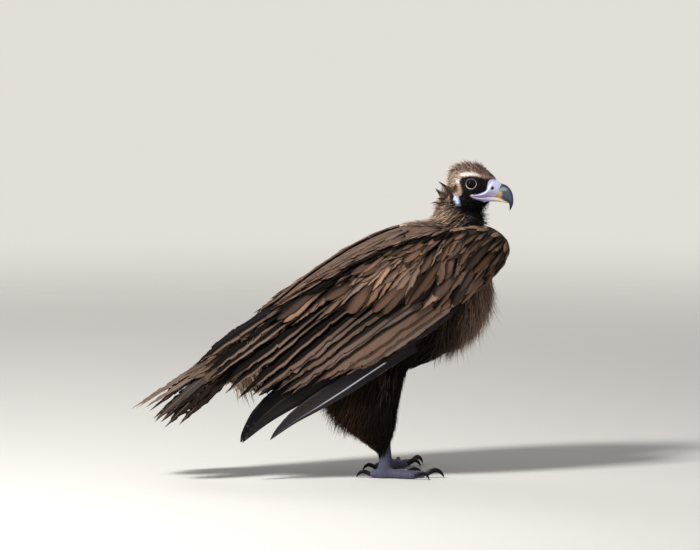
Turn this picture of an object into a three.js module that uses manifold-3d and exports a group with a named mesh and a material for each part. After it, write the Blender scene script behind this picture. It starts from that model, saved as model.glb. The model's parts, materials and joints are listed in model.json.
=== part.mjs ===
// A cinereous vulture (Eurasian black vulture, Aegypius monachus), a young bird standing on level ground.
// It stands with folded wings and a drooping tail, and looks ahead over its right shoulder line.
// Millimetres. +X is the way the body faces, +Y is the bird's left and +Z is up. The floor is z = 0.
import * as THREE from "three";
import { mergeVertices } from "three/addons/utils/BufferGeometryUtils.js";
import Module from "manifold-3d";

const wasm = await Module();
wasm.setup();

// ---------------------------------------------------------------- driving dimensions
const GAP = 0.6; // clear space left where one piece is cut to meet another
const CUT_TOLERANCE = 0.25; // how far a cut piece's faces may move as small slivers are dropped
const BODY_SLOPE = THREE.MathUtils.degToRad(35); // how steeply the folded wing runs down to the tail
const TAIL_SLOPE = THREE.MathUtils.degToRad(31.5); // how steeply the tail runs down
const WING_CORNER = new THREE.Vector2(355, 453); // x, z of the folded wing's lower front corner
const WING_MIDDLE = 48; // height on the wing, from its lower edge, where it stands out most
const WING_ROUND = 205; // half height of the arch that the wing's surface follows
const WING_TIP_SPREAD = 108; // how far the wing stands out from the body's middle at its tip
const WING_SWELL = 70; // how much further it stands out over the forearm
const TUCK_LEFT = 40; // how much further the left hand is folded in than the right
const EYE_RADIUS = 13.5;
const EYE_AT = [0, 24.5, 3]; // the left eyeball's centre in the head's own axes
const HEAD_AT = new THREE.Vector3(350, 0, 681); // the point midway between the eyes
const HEAD_TURN = THREE.MathUtils.degToRad(-14); // the head looks to the bird's right
const TARSUS_WIDTH = 26;
const TOE_HEIGHT = 19;
const FEET = {
  right: { ankle: new THREE.Vector2(128, -76), toeOut: THREE.MathUtils.degToRad(-9), side: -1, hind: 176, instep: 0.5 },
  left: { ankle: new THREE.Vector2(160, 76), toeOut: THREE.MathUtils.degToRad(41), side: 1, hind: 199, instep: 1.6 },
};

// ---------------------------------------------------------------- finishes
const finish = (color, roughness) => new THREE.MeshStandardMaterial({ color, roughness, metalness: 0 });
const FINISH = {
  plumage: finish(0x4a3628, 0.85),
  flight: finish(0x352a24, 0.7),
  down: finish(0x6d5747, 0.95),
  thigh: finish(0x241a15, 0.9),
  cere: finish(0xc9c0e0, 0.5),
  horn: finish(0x3c4650, 0.3),
  mandible: finish(0xb9a9ae, 0.4),
  eye: finish(0x120c0a, 0.08),
  scute: finish(0x9a93a4, 0.6),
  claw: finish(0x16161a, 0.3),
};

// ---------------------------------------------------------------- shaping helpers
/** A smooth curve through points in a plane. */
const curve = (points) => new THREE.SplineCurve(points.map((p) => new THREE.Vector2(...p)));

/** A smooth number that runs through the given values at even steps. */
function track(values) {
  const line = new THREE.SplineCurve(values.map((v) => new THREE.Vector2(v, 0)));
  return (t) => line.getPoint(t).x;
}

/** Keeps only the places of a geometry's vertices, and joins those that coincide. */
function welded(geometry) {
  geometry.deleteAttribute("normal");
  geometry.deleteAttribute("uv");
  return mergeVertices(geometry, 1e-3);
}

/** A closed solid whose rings are a sphere's rows: place(turn, row) gives each vertex. */
function wrapped(around, along, place) {
  const ball = new THREE.SphereGeometry(1, around, along);
  const { position } = ball.attributes;
  let next = 0;
  for (let row = 0; row <= along; row++)
    for (let step = 0; step <= around; step++) {
      const at = place((step % around) / around, row);
      position.setXYZ(next, at.x, at.y, at.z);
      next++;
    }
  return welded(ball);
}

/** How large a ring is near a rounded end: 0 at the end, 1 from `reach` on. */
function rounded(t, reach) {
  return t >= reach ? 1 : Math.sqrt(Math.max(0, 1 - (1 - t / reach) ** 2));
}

/**
 * A body laid over its own side view. Each ring runs from a point of `top` to the matching point of `bottom`,
 * both curves in the x-z plane, and bulges sideways by `half`. A roundness of 0 leaves that end flat.
 */
function profiled({ top, bottom, half, startRound = 0, endRound = 0, full = 1 }, around, along) {
  const flatStart = startRound ? 0 : 1;
  const flatEnd = endRound ? 0 : 1;
  return wrapped(around, along, (turn, row) => {
    const t = THREE.MathUtils.clamp((row - flatStart) / (along - flatStart - flatEnd), 0, 1);
    const isPole = row === 0 || row === along;
    let size = isPole ? 0 : 1;
    if (startRound) size *= rounded(t, startRound);
    if (endRound) size *= rounded(1 - t, endRound);
    const high = top.getPoint(t);
    const low = bottom.getPoint(t);
    const middle = high.clone().add(low).multiplyScalar(0.5);
    const reach = high.clone().sub(low).multiplyScalar(0.5);
    const angle = turn * 2 * Math.PI;
    const upShare = Math.sign(Math.cos(angle)) * Math.abs(Math.cos(angle)) ** full;
    const sideShare = Math.sign(Math.sin(angle)) * Math.abs(Math.sin(angle)) ** full;
    const up = reach.multiplyScalar(size * upShare);
    return new THREE.Vector3(middle.x + up.x, half(t) * size * sideShare, middle.y + up.y);
  });
}

/** The mirror image of a geometry on the bird's other side. */
function mirrored(geometry) {
  const twin = geometry.clone().scale(1, -1, 1);
  const faces = twin.index.array;
  for (let i = 0; i < faces.length; i += 3) [faces[i + 1], faces[i + 2]] = [faces[i + 2], faces[i + 1]];
  return twin;
}

const onSide = (geometry, side) => (side < 0 ? geometry : mirrored(geometry));

// ---------------------------------------------------------------- joins and cuts
function solidOf(geometry) {
  const { position } = geometry.attributes;
  return new wasm.Manifold(
    new wasm.Mesh({
      numProp: 3,
      vertProperties: new Float32Array(position.array),
      triVerts: new Uint32Array(geometry.index.array),
    }),
  );
}

function geometryOf(solid) {
  const mesh = solid.getMesh();
  const geometry = new THREE.BufferGeometry();
  geometry.setAttribute("position", new THREE.BufferAttribute(new Float32Array(mesh.vertProperties), 3));
  geometry.setIndex(new THREE.BufferAttribute(new Uint32Array(mesh.triVerts), 1));
  return geometry;
}

/** A slightly larger copy of a closed shape: every face moves out, so it leaves clear space when it is cut away. */
function grown(geometry, by = GAP) {
  const larger = geometry.clone();
  const { position } = larger.attributes;
  const corners = larger.index.array;
  const facing = Array.from({ length: position.count }, () => []);
  for (let i = 0; i < corners.length; i += 3) {
    const face = new THREE.Triangle().setFromAttributeAndIndices(position, ...corners.slice(i, i + 3));
    const normal = face.getNormal(new THREE.Vector3());
    for (let k = 0; k < 3; k++) facing[corners[i + k]].push(normal);
  }
  facing.forEach((normals, i) => {
    const move = new THREE.Vector3();
    for (let round = 0; round < 8; round++)
      for (const normal of normals) move.addScaledVector(normal, Math.max(0, by - move.dot(normal)));
    position.setXYZ(i, position.getX(i) + move.x, position.getY(i) + move.y, position.getZ(i) + move.z);
  });
  return larger;
}

/** The geometry less the others, keeping the largest body if the cut leaves crumbs. */
function less(geometry, ...cutters) {
  const taken = wasm.Manifold.union(cutters.map((cutter) => solidOf(grown(cutter))));
  const left = solidOf(geometry).subtract(taken).simplify(CUT_TOLERANCE);
  const bodies = left.decompose().sort((p, q) => q.volume() - p.volume());
  return welded(geometryOf(bodies[0]));
}

// ---------------------------------------------------------------- the folded wing's own surface
/** How far the folded wing stands out from the body's middle, at `a` along it and `b` up it. */
function wingStandOut(a, b) {
  const over = WING_SWELL * Math.exp(-(((a - 150) / 290) ** 2));
  const arch = Math.sqrt(Math.max(0.06, 1 - ((b - WING_MIDDLE) / WING_ROUND) ** 2));
  return (WING_TIP_SPREAD + over) * arch;
}

/** A point of the right wing: `a` from its front corner towards the tip, `b` up from its lower edge, `depth` in. */
function wingPoint(a, b, depth) {
  const x = WING_CORNER.x - a * Math.cos(BODY_SLOPE) - b * Math.sin(BODY_SLOPE);
  const z = WING_CORNER.y - a * Math.sin(BODY_SLOPE) + b * Math.cos(BODY_SLOPE);
  return new THREE.Vector3(x, depth - wingStandOut(a, b), z);
}

/** The upper arm, forearm and wrist under their coverts: a lens between the wing's lower and upper edges. */
function wingArm() {
  const low = curve([[-110, 52], [-98, 26], [-54, 0], [45, -4], [140, 8], [225, 70], [300, 128], [372, 176], [425, 214]]);
  const high = curve([[-110, 62], [-102, 94], [-60, 132], [18, 174], [105, 202], [200, 215], [290, 225], [365, 233], [425, 240]]);
  const thick = track([12, 52, 66, 62, 52, 38, 26, 15, 8]);
  const [around, along] = [12, 13];
  return wrapped(around, along, (turn, row) => {
    const t = row / along;
    const isPole = row === 0 || row === along;
    const angle = turn * 2 * Math.PI;
    const from = low.getPoint(t);
    const to = high.getPoint(t);
    const share = isPole ? 0.5 : (1 - Math.cos(angle)) / 2;
    const at = from.lerp(to, share);
    const half = isPole ? 0 : thick(t) / 2;
    return wingPoint(at.x, at.y, thick(t) / 2 + half * Math.sin(angle));
  });
}

/**
 * Long feathers side by side in one shingled sheet. Each feather is two columns of a box: its edge and its shaft,
 * and the shafts reach the tips while the edges stop short, which gives the sheet its toothed end.
 */
function featherFan({ count, rows, root, tip, notch, step, depth, thick, place, bend = 0 }) {
  const columns = count * 2;
  const box = new THREE.BoxGeometry(1, 1, 1, columns, 1, rows);
  const { position } = box.attributes;
  for (let i = 0; i < position.count; i++) {
    const across = 0.5 - position.getX(i);
    const along = position.getZ(i) + 0.5;
    const isInner = position.getY(i) < 0;
    const isShaft = Math.round(across * columns) % 2 === 1;
    const start = root.getPoint(across);
    const reach = tip.getPoint(across).sub(start);
    const share = along * (isShaft ? 1 : 1 - notch(across));
    const sideways = new THREE.Vector2(-reach.y, reach.x).normalize();
    const at = start.addScaledVector(reach, share).addScaledVector(sideways, bend * share * (share - 1) * 4);
    const taper = THREE.MathUtils.lerp(1, 0.45, along);
    const level = depth(across, along) + (isShaft ? -step : step) * 0.5 * along;
    const p = place(at.x, at.y, level + (isInner ? thick * taper : 0));
    position.setXYZ(i, p.x, p.y, p.z);
  }
  return welded(box);
}

/** The secondaries and tertials, from the lowest and outermost to the innermost along the back. */
function secondaries() {
  return featherFan({
    count: 13,
    rows: 3,
    root: curve([[190, 40], [238, 86], [290, 130], [345, 166], [370, 200], [374, 224]]),
    tip: curve([[392, 24], [478, 58], [548, 100], [600, 118], [655, 168], [650, 230]]),
    notch: (across) => 0.07 + 0.08 * across,
    step: 3,
    depth: (across, along) => 7 - 4 * along,
    thick: 6,
    place: wingPoint,
    bend: -6,
  });
}

/** The primaries: the long dark feathers of the hand, below and behind the secondaries, less or more tucked in. */
function primaries(tuck) {
  return featherFan({
    count: 4,
    rows: 6,
    root: curve([[120, 2], [160, 22], [210, 48], [260, 80]]),
    tip: curve([[608, -10], [628, 4], [650, 16], [672, 28], [686, 76]].map(([a, b]) => [a - tuck, b + tuck * 0.5])),
    notch: (across) => 0.16 - 0.06 * across,
    step: 3,
    depth: (across, along) => 14 - 5 * along,
    thick: 6,
    place: wingPoint,
    bend: 10,
  });
}

// ---------------------------------------------------------------- body, neck and head
const TRUNK = {
  top: curve([[-296, 282], [-250, 317], [-185, 362], [-120, 409], [-58, 459], [4, 502], [75, 544], [150, 577], [232, 597], [300, 592]]),
  bottom: curve([[-228, 196], [-120, 200], [-5, 212], [105, 226], [212, 250], [300, 290], [374, 352], [393, 430], [398, 500], [392, 560]]),
  half: track([46, 68, 90, 112, 130, 140, 140, 132, 112, 62]),
  startRound: 0.12,
  endRound: 0.09,
  full: 0.9,
};

const NECK = {
  top: curve([[262, 598], [266, 615], [280, 634], [296, 652]]),
  bottom: curve([[383, 566], [385, 590], [378, 612], [376, 630]]),
  half: track([58, 52, 42, 38]),
};

/** The tail's feathers, spread a little and bent down at the sides like a roof. */
function tail() {
  const width = 84;
  const droop = 82;
  return featherFan({
    count: 12,
    rows: 3,
    root: curve([[0, -46], [0, 0], [0, 46]]),
    tip: curve([[296, -width], [372, -width / 2], [396, 0], [372, width / 2], [296, width]]),
    notch: (across) => 0.05 + 0.12 * Math.abs(across - 0.5),
    step: 3,
    depth: () => 0,
    thick: 8,
    place: (along, side, depth) => {
      const x = -112 - along * Math.cos(TAIL_SLOPE) + depth * Math.sin(TAIL_SLOPE);
      const z = 381 - along * Math.sin(TAIL_SLOPE) - depth * Math.cos(TAIL_SLOPE);
      return new THREE.Vector3(x, side, z - droop * (side / width) ** 2);
    },
  });
}

// The head's parts are laid out about the point midway between the eyes, facing +x, then turned and moved.
const HEAD = {
  top: curve([[-55, 17], [-49, 31], [-33, 46], [-12, 51], [12, 48], [32, 39.5], [48, 28], [60, 17]]),
  bottom: curve([[-55, 10], [-51, -14], [-41, -38], [-24, -50], [2, -52], [22, -53], [36, -51], [45, -44]]),
  half: track([10, 22, 32, 35, 32.5, 25, 18, 12]),
  startRound: 0.1,
  full: 0.92,
};

const CERE = {
  top: curve([[26, 3], [42, 9.5], [57, 7], [68.4, 0]]),
  bottom: curve([[22, -33], [36, -34.5], [48, -36], [57, -37]]),
  half: track([23, 20.5, 17, 13.4]),
  full: 0.85,
};

const BEAK_UPPER = {
  top: curve([[69, -0.6], [76, -2.6], [84, -8], [91, -16.5], [95.6, -27], [97.8, -38], [97, -48], [94, -57], [90.5, -64]]),
  bottom: curve([[57.6, -37], [65, -39], [72, -41.5], [78, -44], [83, -46.5], [86.5, -50], [88, -54], [88.6, -59], [89.5, -64]]),
  half: track([13.2, 12.4, 11.4, 10.2, 8.6, 6.8, 5, 3.4, 1]),
  endRound: 0.05,
  full: 0.85,
};

const BEAK_LOWER = {
  top: curve([[-1, -28], [20, -31], [40, -34], [57, -36.5], [72, -42], [84, -47.4]]),
  bottom: curve([[-1, -30], [16, -40], [38, -43.5], [56, -44], [72, -46.5], [85, -49]]),
  half: track([30, 24, 17, 13, 9.5, 3]),
  full: 0.85,
};

const eyeBall = (side) =>
  welded(new THREE.SphereGeometry(EYE_RADIUS, 14, 7)).translate(EYE_AT[0], side * EYE_AT[1], EYE_AT[2]);

/** The soft ring of lid that frames an eye. */
const lidRing = (side) =>
  welded(new THREE.TorusGeometry(12.2, 2.2, 5, 12)).rotateX(Math.PI / 2).translate(EYE_AT[0], side * 32.2, EYE_AT[2]);

/** A smooth swelling on the head, and the same shape is used to hollow it. */
const lump = ([x, y, z], [rx, ry, rz], side = 1) =>
  welded(new THREE.SphereGeometry(1, 8, 5)).scale(rx, ry, rz).translate(x, side * y, z);

/** The feathered head with its brows and lids, and hollows for the eyes. */
function skull() {
  let made = solidOf(profiled(HEAD, 16, 12));
  for (const side of [-1, 1]) {
    made = made.add(solidOf(lump([-5, 24, 22], [27, 10, 8], side)));
    made = made.subtract(solidOf(lump([1, 41, 2], [19, 11, 16], side)));
    made = made.add(solidOf(lidRing(side)));
  }
  return geometryOf(made);
}

const inHead = (geometry) => geometry.rotateZ(HEAD_TURN).translate(HEAD_AT.x, HEAD_AT.y, HEAD_AT.z);

/** The collar of loose pointed feathers round the back and sides of the neck, highest at the nape. */
function ruff() {
  const spikes = 9;
  const [around, along] = [spikes * 2, 5];
  return wrapped(around, along, (turn, row) => {
    const angle = turn * 2 * Math.PI;
    const behind = (1 + Math.cos(angle)) / 2; // 1 at the nape, 0 at the throat
    const isSpike = Math.round(turn * around) % 2 === 0;
    const reach = [0, 1, 1.05, isSpike ? 1.04 : 0.97, isSpike ? 0.9 : 0.82, 0][row];
    const wide = [0, 92, 76, 62, 54, 0][row];
    const rise = [-16, -16, 6, 28, isSpike ? 34 + 56 * behind ** 3 : 32 + 10 * behind, 26][row];
    const x = (8 * behind * Math.max(0, rise / 40) - Math.cos(angle) * 66) * reach;
    return new THREE.Vector3(322 + x, Math.sin(angle) * wide, 590 + rise - 0.2 * x);
  });
}

// ---------------------------------------------------------------- legs
/** The feathered thigh and shank, from inside the flank down to the bare part of the leg. */
function thigh(foot) {
  const shift = foot.ankle.x - FEET.right.ankle.x;
  const moved = (points) => curve(points.map(([x, z, share]) => [x + shift * share, z]));
  const side = track([64, 66, 70, 74, Math.abs(foot.ankle.y), Math.abs(foot.ankle.y)]);
  const shape = profiled(
    {
      top: moved([[186, 300, 0], [184, 232, 0.2], [167, 176, 0.6], [159, 128, 1], [153, 100, 1], [145, 82, 1]]),
      bottom: moved([[10, 290, 0], [-12, 222, 0.2], [-6, 160, 0.5], [40, 114, 0.8], [88, 72, 1], [113, 54, 1]]),
      half: track([42, 44, 42, 38, 28, 17]),
      full: 0.95,
    },
    11,
    8,
  );
  const { position } = shape.attributes;
  for (let i = 0; i < position.count; i++) {
    const down = THREE.MathUtils.clamp((300 - position.getZ(i)) / 240, 0, 1);
    position.setY(i, position.getY(i) + foot.side * side(down));
  }
  return shape;
}

/** The bare lower leg and the pad under it, scaly in life, standing on the floor. */
function tarsus(foot) {
  const half = TARSUS_WIDTH / 2;
  const outline = [
    [0, 0],
    [half + 3.5, 0],
    [half + 4.5, 8],
    [half + 2.6, 22],
    [half + 0.6, 38],
    [half - 1.6, 56],
    [half - 1.2, 92],
    [0, 92],
  ];
  const column = new THREE.LatheGeometry(outline.map((p) => new THREE.Vector2(...p)), 12);
  return welded(column).rotateX(Math.PI / 2).scale(1, 0.86, 1).rotateZ(foot.toeOut).translate(foot.ankle.x, foot.ankle.y, 0);
}

const TOES = {
  middle: { turn: 0, length: 106, width: 20, claw: 44, clawThick: 14, instep: 1 },
  inner: { turn: 20, length: 64, width: 20, claw: 38, clawThick: 15, instep: 0.5 },
  outer: { turn: -21, length: 84, width: 18, claw: 36, clawThick: 13, instep: 0.4 },
  hind: { length: 38, width: 19, claw: 32, clawThick: 15, instep: 0 },
};

/** One toe lying on the floor, along +x from the ankle, with its knuckles, a flat sole and a sloping instep. */
function toeShape({ length, width, instep }, foot) {
  const knuckles = Math.max(2, Math.round(length / 32));
  const [around, along] = [8, 7];
  return wrapped(around, along, (turn, row) => {
    const t = row / along;
    const isPole = row === 0 || row === along;
    const knuckle = 1 + 0.07 * Math.cos(t * knuckles * 2 * Math.PI);
    const size = isPole ? 0 : rounded(1 - t, 0.16) ** 0.5 * THREE.MathUtils.lerp(1.06, 0.86, t) * knuckle;
    const angle = turn * 2 * Math.PI;
    const high = TOE_HEIGHT * 0.58;
    const lift = 1 + instep * foot.instep * Math.max(0, 1 - t / 0.5) ** 2 * Math.max(0, Math.cos(angle));
    const z = high * size * Math.cos(angle) * lift + high * 0.72 * (isPole ? 0.8 : 1);
    return new THREE.Vector3(t * length, (width / 2) * size * Math.sin(angle), Math.max(z, 0));
  });
}

/** One curved claw: a hook that rises from the toe's end and comes down to its point. */
function clawShape({ length, claw, clawThick }) {
  const [around, along] = [6, 7];
  const radius = claw * 0.56;
  const from = THREE.MathUtils.degToRad(152);
  const to = THREE.MathUtils.degToRad(18);
  return wrapped(around, along, (turn, row) => {
    const t = THREE.MathUtils.clamp((row - 1) / (along - 1), 0, 1);
    const at = THREE.MathUtils.lerp(from, to, t);
    const size = row === 0 || row === along ? 0 : (clawThick / 2) * (1 - t) ** 0.75 + 0.3;
    const angle = turn * 2 * Math.PI;
    const out = radius * 0.78 + size * Math.cos(angle);
    const x = length - 6 + radius + Math.cos(at) * (radius + size * Math.cos(angle));
    const z = 1 + Math.sin(at) * out * 0.66;
    return new THREE.Vector3(x, size * 0.8 * Math.sin(angle), Math.max(z, 0.3));
  });
}

/** Moves a shape that lies along +x from the origin to its place on a foot. */
function onFoot(geometry, foot, toe) {
  const turn = THREE.MathUtils.degToRad(toe.turn ?? foot.hind) * -foot.side;
  return geometry.rotateZ(foot.toeOut + turn).translate(foot.ankle.x, foot.ankle.y, 0);
}

// ---------------------------------------------------------------- assembly
const bird = new THREE.Group();

function addPart(name, geometry, material) {
  const mesh = new THREE.Mesh(geometry, material);
  mesh.name = name;
  bird.add(mesh);
}

const arm = wingArm();
const rearSheet = secondaries();
const hands = { right: primaries(0), left: primaries(TUCK_LEFT) };
const wings = [arm, rearSheet, mirrored(arm), mirrored(rearSheet), hands.right, mirrored(hands.left)];
const trunk = profiled(TRUNK, 16, 14);
const neck = profiled(NECK, 16, 5);
const collar = ruff();

function addWings() {
  const flight = less(rearSheet, arm);
  for (const [name, side] of [["right", -1], ["left", 1]]) {
    const hand = less(hands[name], arm, rearSheet);
    addPart(`wing_arm_${name}`, onSide(arm, side), FINISH.plumage);
    addPart(`secondaries_${name}`, onSide(flight, side), FINISH.flight);
    addPart(`primaries_${name}`, onSide(hand, side), FINISH.flight);
  }
}

function addBody() {
  addPart("trunk", less(trunk, neck, collar, ...wings), FINISH.plumage);
  addPart("tail", less(tail(), trunk, ...wings), FINISH.flight);
  addPart("ruff", less(collar, neck, ...wings), FINISH.down);
}

function addHead() {
  const flesh = skull();
  const nostrils = [-1, 1].map((side) => lump([50, 17, -11], [3.8, 5, 2.7], side));
  const cere = profiled(CERE, 12, 5);
  const upper = profiled(BEAK_UPPER, 10, 10);
  const lower = profiled(BEAK_LOWER, 10, 7);
  addPart("head", inHead(less(flesh, eyeBall(-1), eyeBall(1), cere, upper, lower)), FINISH.down);
  addPart("cere", inHead(less(cere, upper, lower, ...nostrils)), FINISH.cere);
  addPart("beak_upper", inHead(less(upper, lower)), FINISH.horn);
  addPart("beak_lower", inHead(lower), FINISH.mandible);
  addPart("eye_right", inHead(eyeBall(-1)), FINISH.eye);
  addPart("eye_left", inHead(eyeBall(1)), FINISH.eye);
  addPart("neck", less(neck, inHead(flesh.clone())), FINISH.down);
}

function addLegs() {
  for (const [name, foot] of Object.entries(FEET)) {
    const shank = tarsus(foot);
    addPart(`thigh_${name}`, less(thigh(foot), trunk, shank, ...wings), FINISH.thigh);
    addPart(`tarsus_${name}`, shank, FINISH.scute);
    const taken = [shank];
    for (const [digit, toe] of Object.entries(TOES)) {
      const claw = onFoot(clawShape(toe), foot, toe);
      const pad = onFoot(toeShape(toe, foot), foot, toe);
      addPart(`toe_${digit}_${name}`, less(pad, claw, ...taken), FINISH.scute);
      addPart(`claw_${digit}_${name}`, claw, FINISH.claw);
      taken.push(pad);
    }
  }
}

addWings();
addBody();
addHead();
addLegs();

// The part's origin is under the middle of its outline, on the floor.
const extent = new THREE.Box3().setFromObject(bird);
const middle = extent.getCenter(new THREE.Vector3());
bird.position.set(-middle.x, -middle.y, -extent.min.z);

export default bird;
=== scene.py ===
"""A life-size still model of a cinereous vulture: skin, down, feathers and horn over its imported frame."""

import json
import logging
import math
from contextlib import contextmanager
from dataclasses import dataclass, field, replace
from enum import Enum
from typing import Callable, Iterator, Optional

import bpy
import numpy as np
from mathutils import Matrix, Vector
from mathutils.bvhtree import BVHTree

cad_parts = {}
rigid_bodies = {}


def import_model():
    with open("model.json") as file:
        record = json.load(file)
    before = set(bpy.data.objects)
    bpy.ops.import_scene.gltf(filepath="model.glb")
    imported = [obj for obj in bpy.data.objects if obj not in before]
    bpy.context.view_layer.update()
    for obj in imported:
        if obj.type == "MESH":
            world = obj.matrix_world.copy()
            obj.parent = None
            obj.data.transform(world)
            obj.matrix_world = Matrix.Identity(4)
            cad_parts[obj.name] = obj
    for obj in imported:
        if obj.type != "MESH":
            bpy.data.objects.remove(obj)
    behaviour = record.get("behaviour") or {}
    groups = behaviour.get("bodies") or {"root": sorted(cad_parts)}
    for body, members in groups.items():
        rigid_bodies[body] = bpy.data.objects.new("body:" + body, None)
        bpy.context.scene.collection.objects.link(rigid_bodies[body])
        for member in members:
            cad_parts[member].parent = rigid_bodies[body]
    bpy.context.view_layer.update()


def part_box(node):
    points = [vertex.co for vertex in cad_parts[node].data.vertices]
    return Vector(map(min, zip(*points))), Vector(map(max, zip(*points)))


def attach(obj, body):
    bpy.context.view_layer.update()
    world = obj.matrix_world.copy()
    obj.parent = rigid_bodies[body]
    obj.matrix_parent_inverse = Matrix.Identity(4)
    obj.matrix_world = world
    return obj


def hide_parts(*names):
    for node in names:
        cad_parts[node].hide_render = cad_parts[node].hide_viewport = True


MM = 0.001
FULL_TURN = 6.2832
SIDES = {"right": -1, "left": 1}
SLOPE = math.radians(35.0)
"""How steeply the folded wing and the back fall towards the tail."""
TOWARDS_TAIL = np.array([-math.cos(SLOPE), 0.0, -math.sin(SLOPE)])
UP_THE_WING = np.array([-math.sin(SLOPE), 0, math.cos(SLOPE)])
HEAD_FOOT = 615.0
"""Height above which the skin bears the head's markings, in bird millimetres."""
PATCH = (0.003, 0.003)
LONG_PATCH = (0.004, 0.016)
HAND_PATCH = (0.004, 0.012)
LARGE_PATCH = (0.006, 0.01)
"""Patches that vanes take on the skin's unwrap: tufts, long feathers, the hand's and greater coverts."""

LOG = logging.getLogger("vulture")
Colour = tuple[float, float, float]


def dye(red: int, green: int, blue: int) -> Colour:
    """Turns a colour as seen on a screen (0 to 255) into linear light."""
    parts = [value / 255 for value in (red, green, blue)]
    return tuple(v / 12.92 if v <= 0.04045 else ((v + 0.055) / 1.055) ** 2.4 for v in parts)


def smooth_between(low: float, high: float, values: np.ndarray) -> np.ndarray:
    """Rises smoothly from 0 at low to 1 at high (or falls, where low is the greater)."""
    share = np.clip((values - low) / (high - low), 0, 1)
    return share * share * (3 - 2 * share)


def mantle_line(a: np.ndarray) -> np.ndarray:
    """How high on the wing the back's feathers end, for distances from its front corner.

    Args:
        a: Distances from the wing's front corner.

    Returns:
        The heights.
    """
    return np.interp(
        a, [4, 63, 122, 182, 241, 300, 360, 420, 480], [166, 192, 207, 217, 224, 228, 232, 236, 238]
    )


def unit(vectors: np.ndarray) -> np.ndarray:
    """Scales vectors to length one."""
    return vectors / np.maximum(np.linalg.norm(vectors, axis=-1, keepdims=True), 1e-9)


class Curve:
    """A smooth curve through points, read by a share from 0 to 1 of its points."""

    def __init__(self, *points: tuple[float, ...]) -> None:
        """Keeps the points."""
        self.points = np.array(points, float)

    def at(self, share: np.ndarray) -> np.ndarray:
        """Reads the curve with Catmull-Rom weights.

        Args:
            share: Shares from 0 to 1.

        Returns:
            One point for each share.
        """
        share = np.clip(np.asarray(share, float), 0, 1) * (len(self.points) - 1)
        first = np.minimum(share.astype(int), len(self.points) - 2)
        t = (share - first)[..., None]
        ends = np.vstack(
            [2 * self.points[0] - self.points[1], self.points, 2 * self.points[-1] - self.points[-2]]
        )
        p0, p1, p2, p3 = (ends[first + k] for k in range(4))
        bend = 2 * p0 - 5 * p1 + 4 * p2 - p3
        return 0.5 * (2 * p1 + (p2 - p0) * t + bend * t**2 + (3 * (p1 - p2) + p3 - p0) * t**3)


@dataclass(frozen=True)
class Stance:
    """Where the bird stands in the frame, and how its own millimetres become the frame's metres."""

    shift: np.ndarray
    head_at: tuple[float, float, float] = (350.0, 0.0, 681.0)
    head_turn: float = math.radians(-14.0)
    eye_rise: float = 3.0

    @classmethod
    def from_frame(cls) -> "Stance":
        """Finds the shift from the place of the two eyes.

        Returns:
            The points in bird millimetres.
        """
        corners = [Vector(corner) for name in ("eye_right", "eye_left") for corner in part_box(name)]
        middle = np.array(sum(corners, Vector()) / 4) / MM
        home = np.array(cls.head_at) + (0, 0, cls.eye_rise)
        return cls(middle - home)

    def to_frame(self, points: np.ndarray) -> np.ndarray:
        """Bird millimetres to frame metres."""
        return (points + self.shift) * MM

    def from_mesh(self, points: np.ndarray) -> np.ndarray:
        """Frame metres to bird millimetres."""
        return points / MM - self.shift

    def in_head(self, points: np.ndarray) -> np.ndarray:
        """Bird millimetres to the head's own axes, with +x to the bill's tip."""
        return self._turned(points - np.array(self.head_at), -self.head_turn)

    def out_of_head(self, points: np.ndarray, is_place: bool = True) -> np.ndarray:
        """The head's own axes to bird millimetres."""
        turned = self._turned(points, self.head_turn)
        return turned + np.array(self.head_at) if is_place else turned

    def from_eye(self, q: np.ndarray) -> np.ndarray:
        """How far points in the head's axes are from the eye's middle, seen from the side."""
        return np.hypot(q[:, 0], q[:, 2] - self.eye_rise)

    @staticmethod
    def _turned(points: np.ndarray, angle: float) -> np.ndarray:
        """Points turned to the left by an angle.

        Args:
            points: The points.
            angle: The angle in radians.

        Returns:
            The turned points.
        """
        c, s = math.cos(angle), math.sin(angle)
        x, y, z = points[..., 0], points[..., 1], points[..., 2]
        return np.stack([x * c - y * s, x * s + y * c, z], -1)


@dataclass(frozen=True)
class WingFrame:
    """The folded wing's own surface.

    On it, a runs from the wrist to the tip, b up from the lower edge, and depth in towards the body.
    """

    side: int
    corner_x: float = 355.0
    corner_z: float = 453.0
    middle: float = 48.0
    round_over: float = 205.0
    tip_spread: float = 108.0
    swell: float = 70.0

    def point(self, a: np.ndarray, b: np.ndarray, depth: np.ndarray) -> np.ndarray:
        """Places points on the wing.

        Args:
            a: Distance from the front corner towards the tip.
            b: Distance up from the lower edge.
            depth: Distance in towards the body.

        Returns:
            Points in bird millimetres.
        """
        over = self.swell * np.exp(-(((a - 150) / 290) ** 2))
        arch = np.sqrt(np.maximum(0.06, 1 - ((b - self.middle) / self.round_over) ** 2))
        x = self.corner_x - a * math.cos(SLOPE) - b * math.sin(SLOPE)
        z = self.corner_z - a * math.sin(SLOPE) + b * math.cos(SLOPE)
        return np.stack([x, self.side * ((self.tip_spread + over) * arch - depth), z], -1)

    def normal(self, a: np.ndarray, b: np.ndarray) -> np.ndarray:
        """The wing's outward direction.

        Args:
            a: Distance from the front corner towards the tip.
            b: Distance up from the lower edge.

        Returns:
            Unit vectors.
        """
        level = np.zeros_like(a)
        along = self.point(a + 2, b, level) - self.point(a - 2, b, level)
        up = self.point(a, b + 2, level) - self.point(a, b - 2, level)
        return unit(np.cross(up, along) * -self.side)


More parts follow.
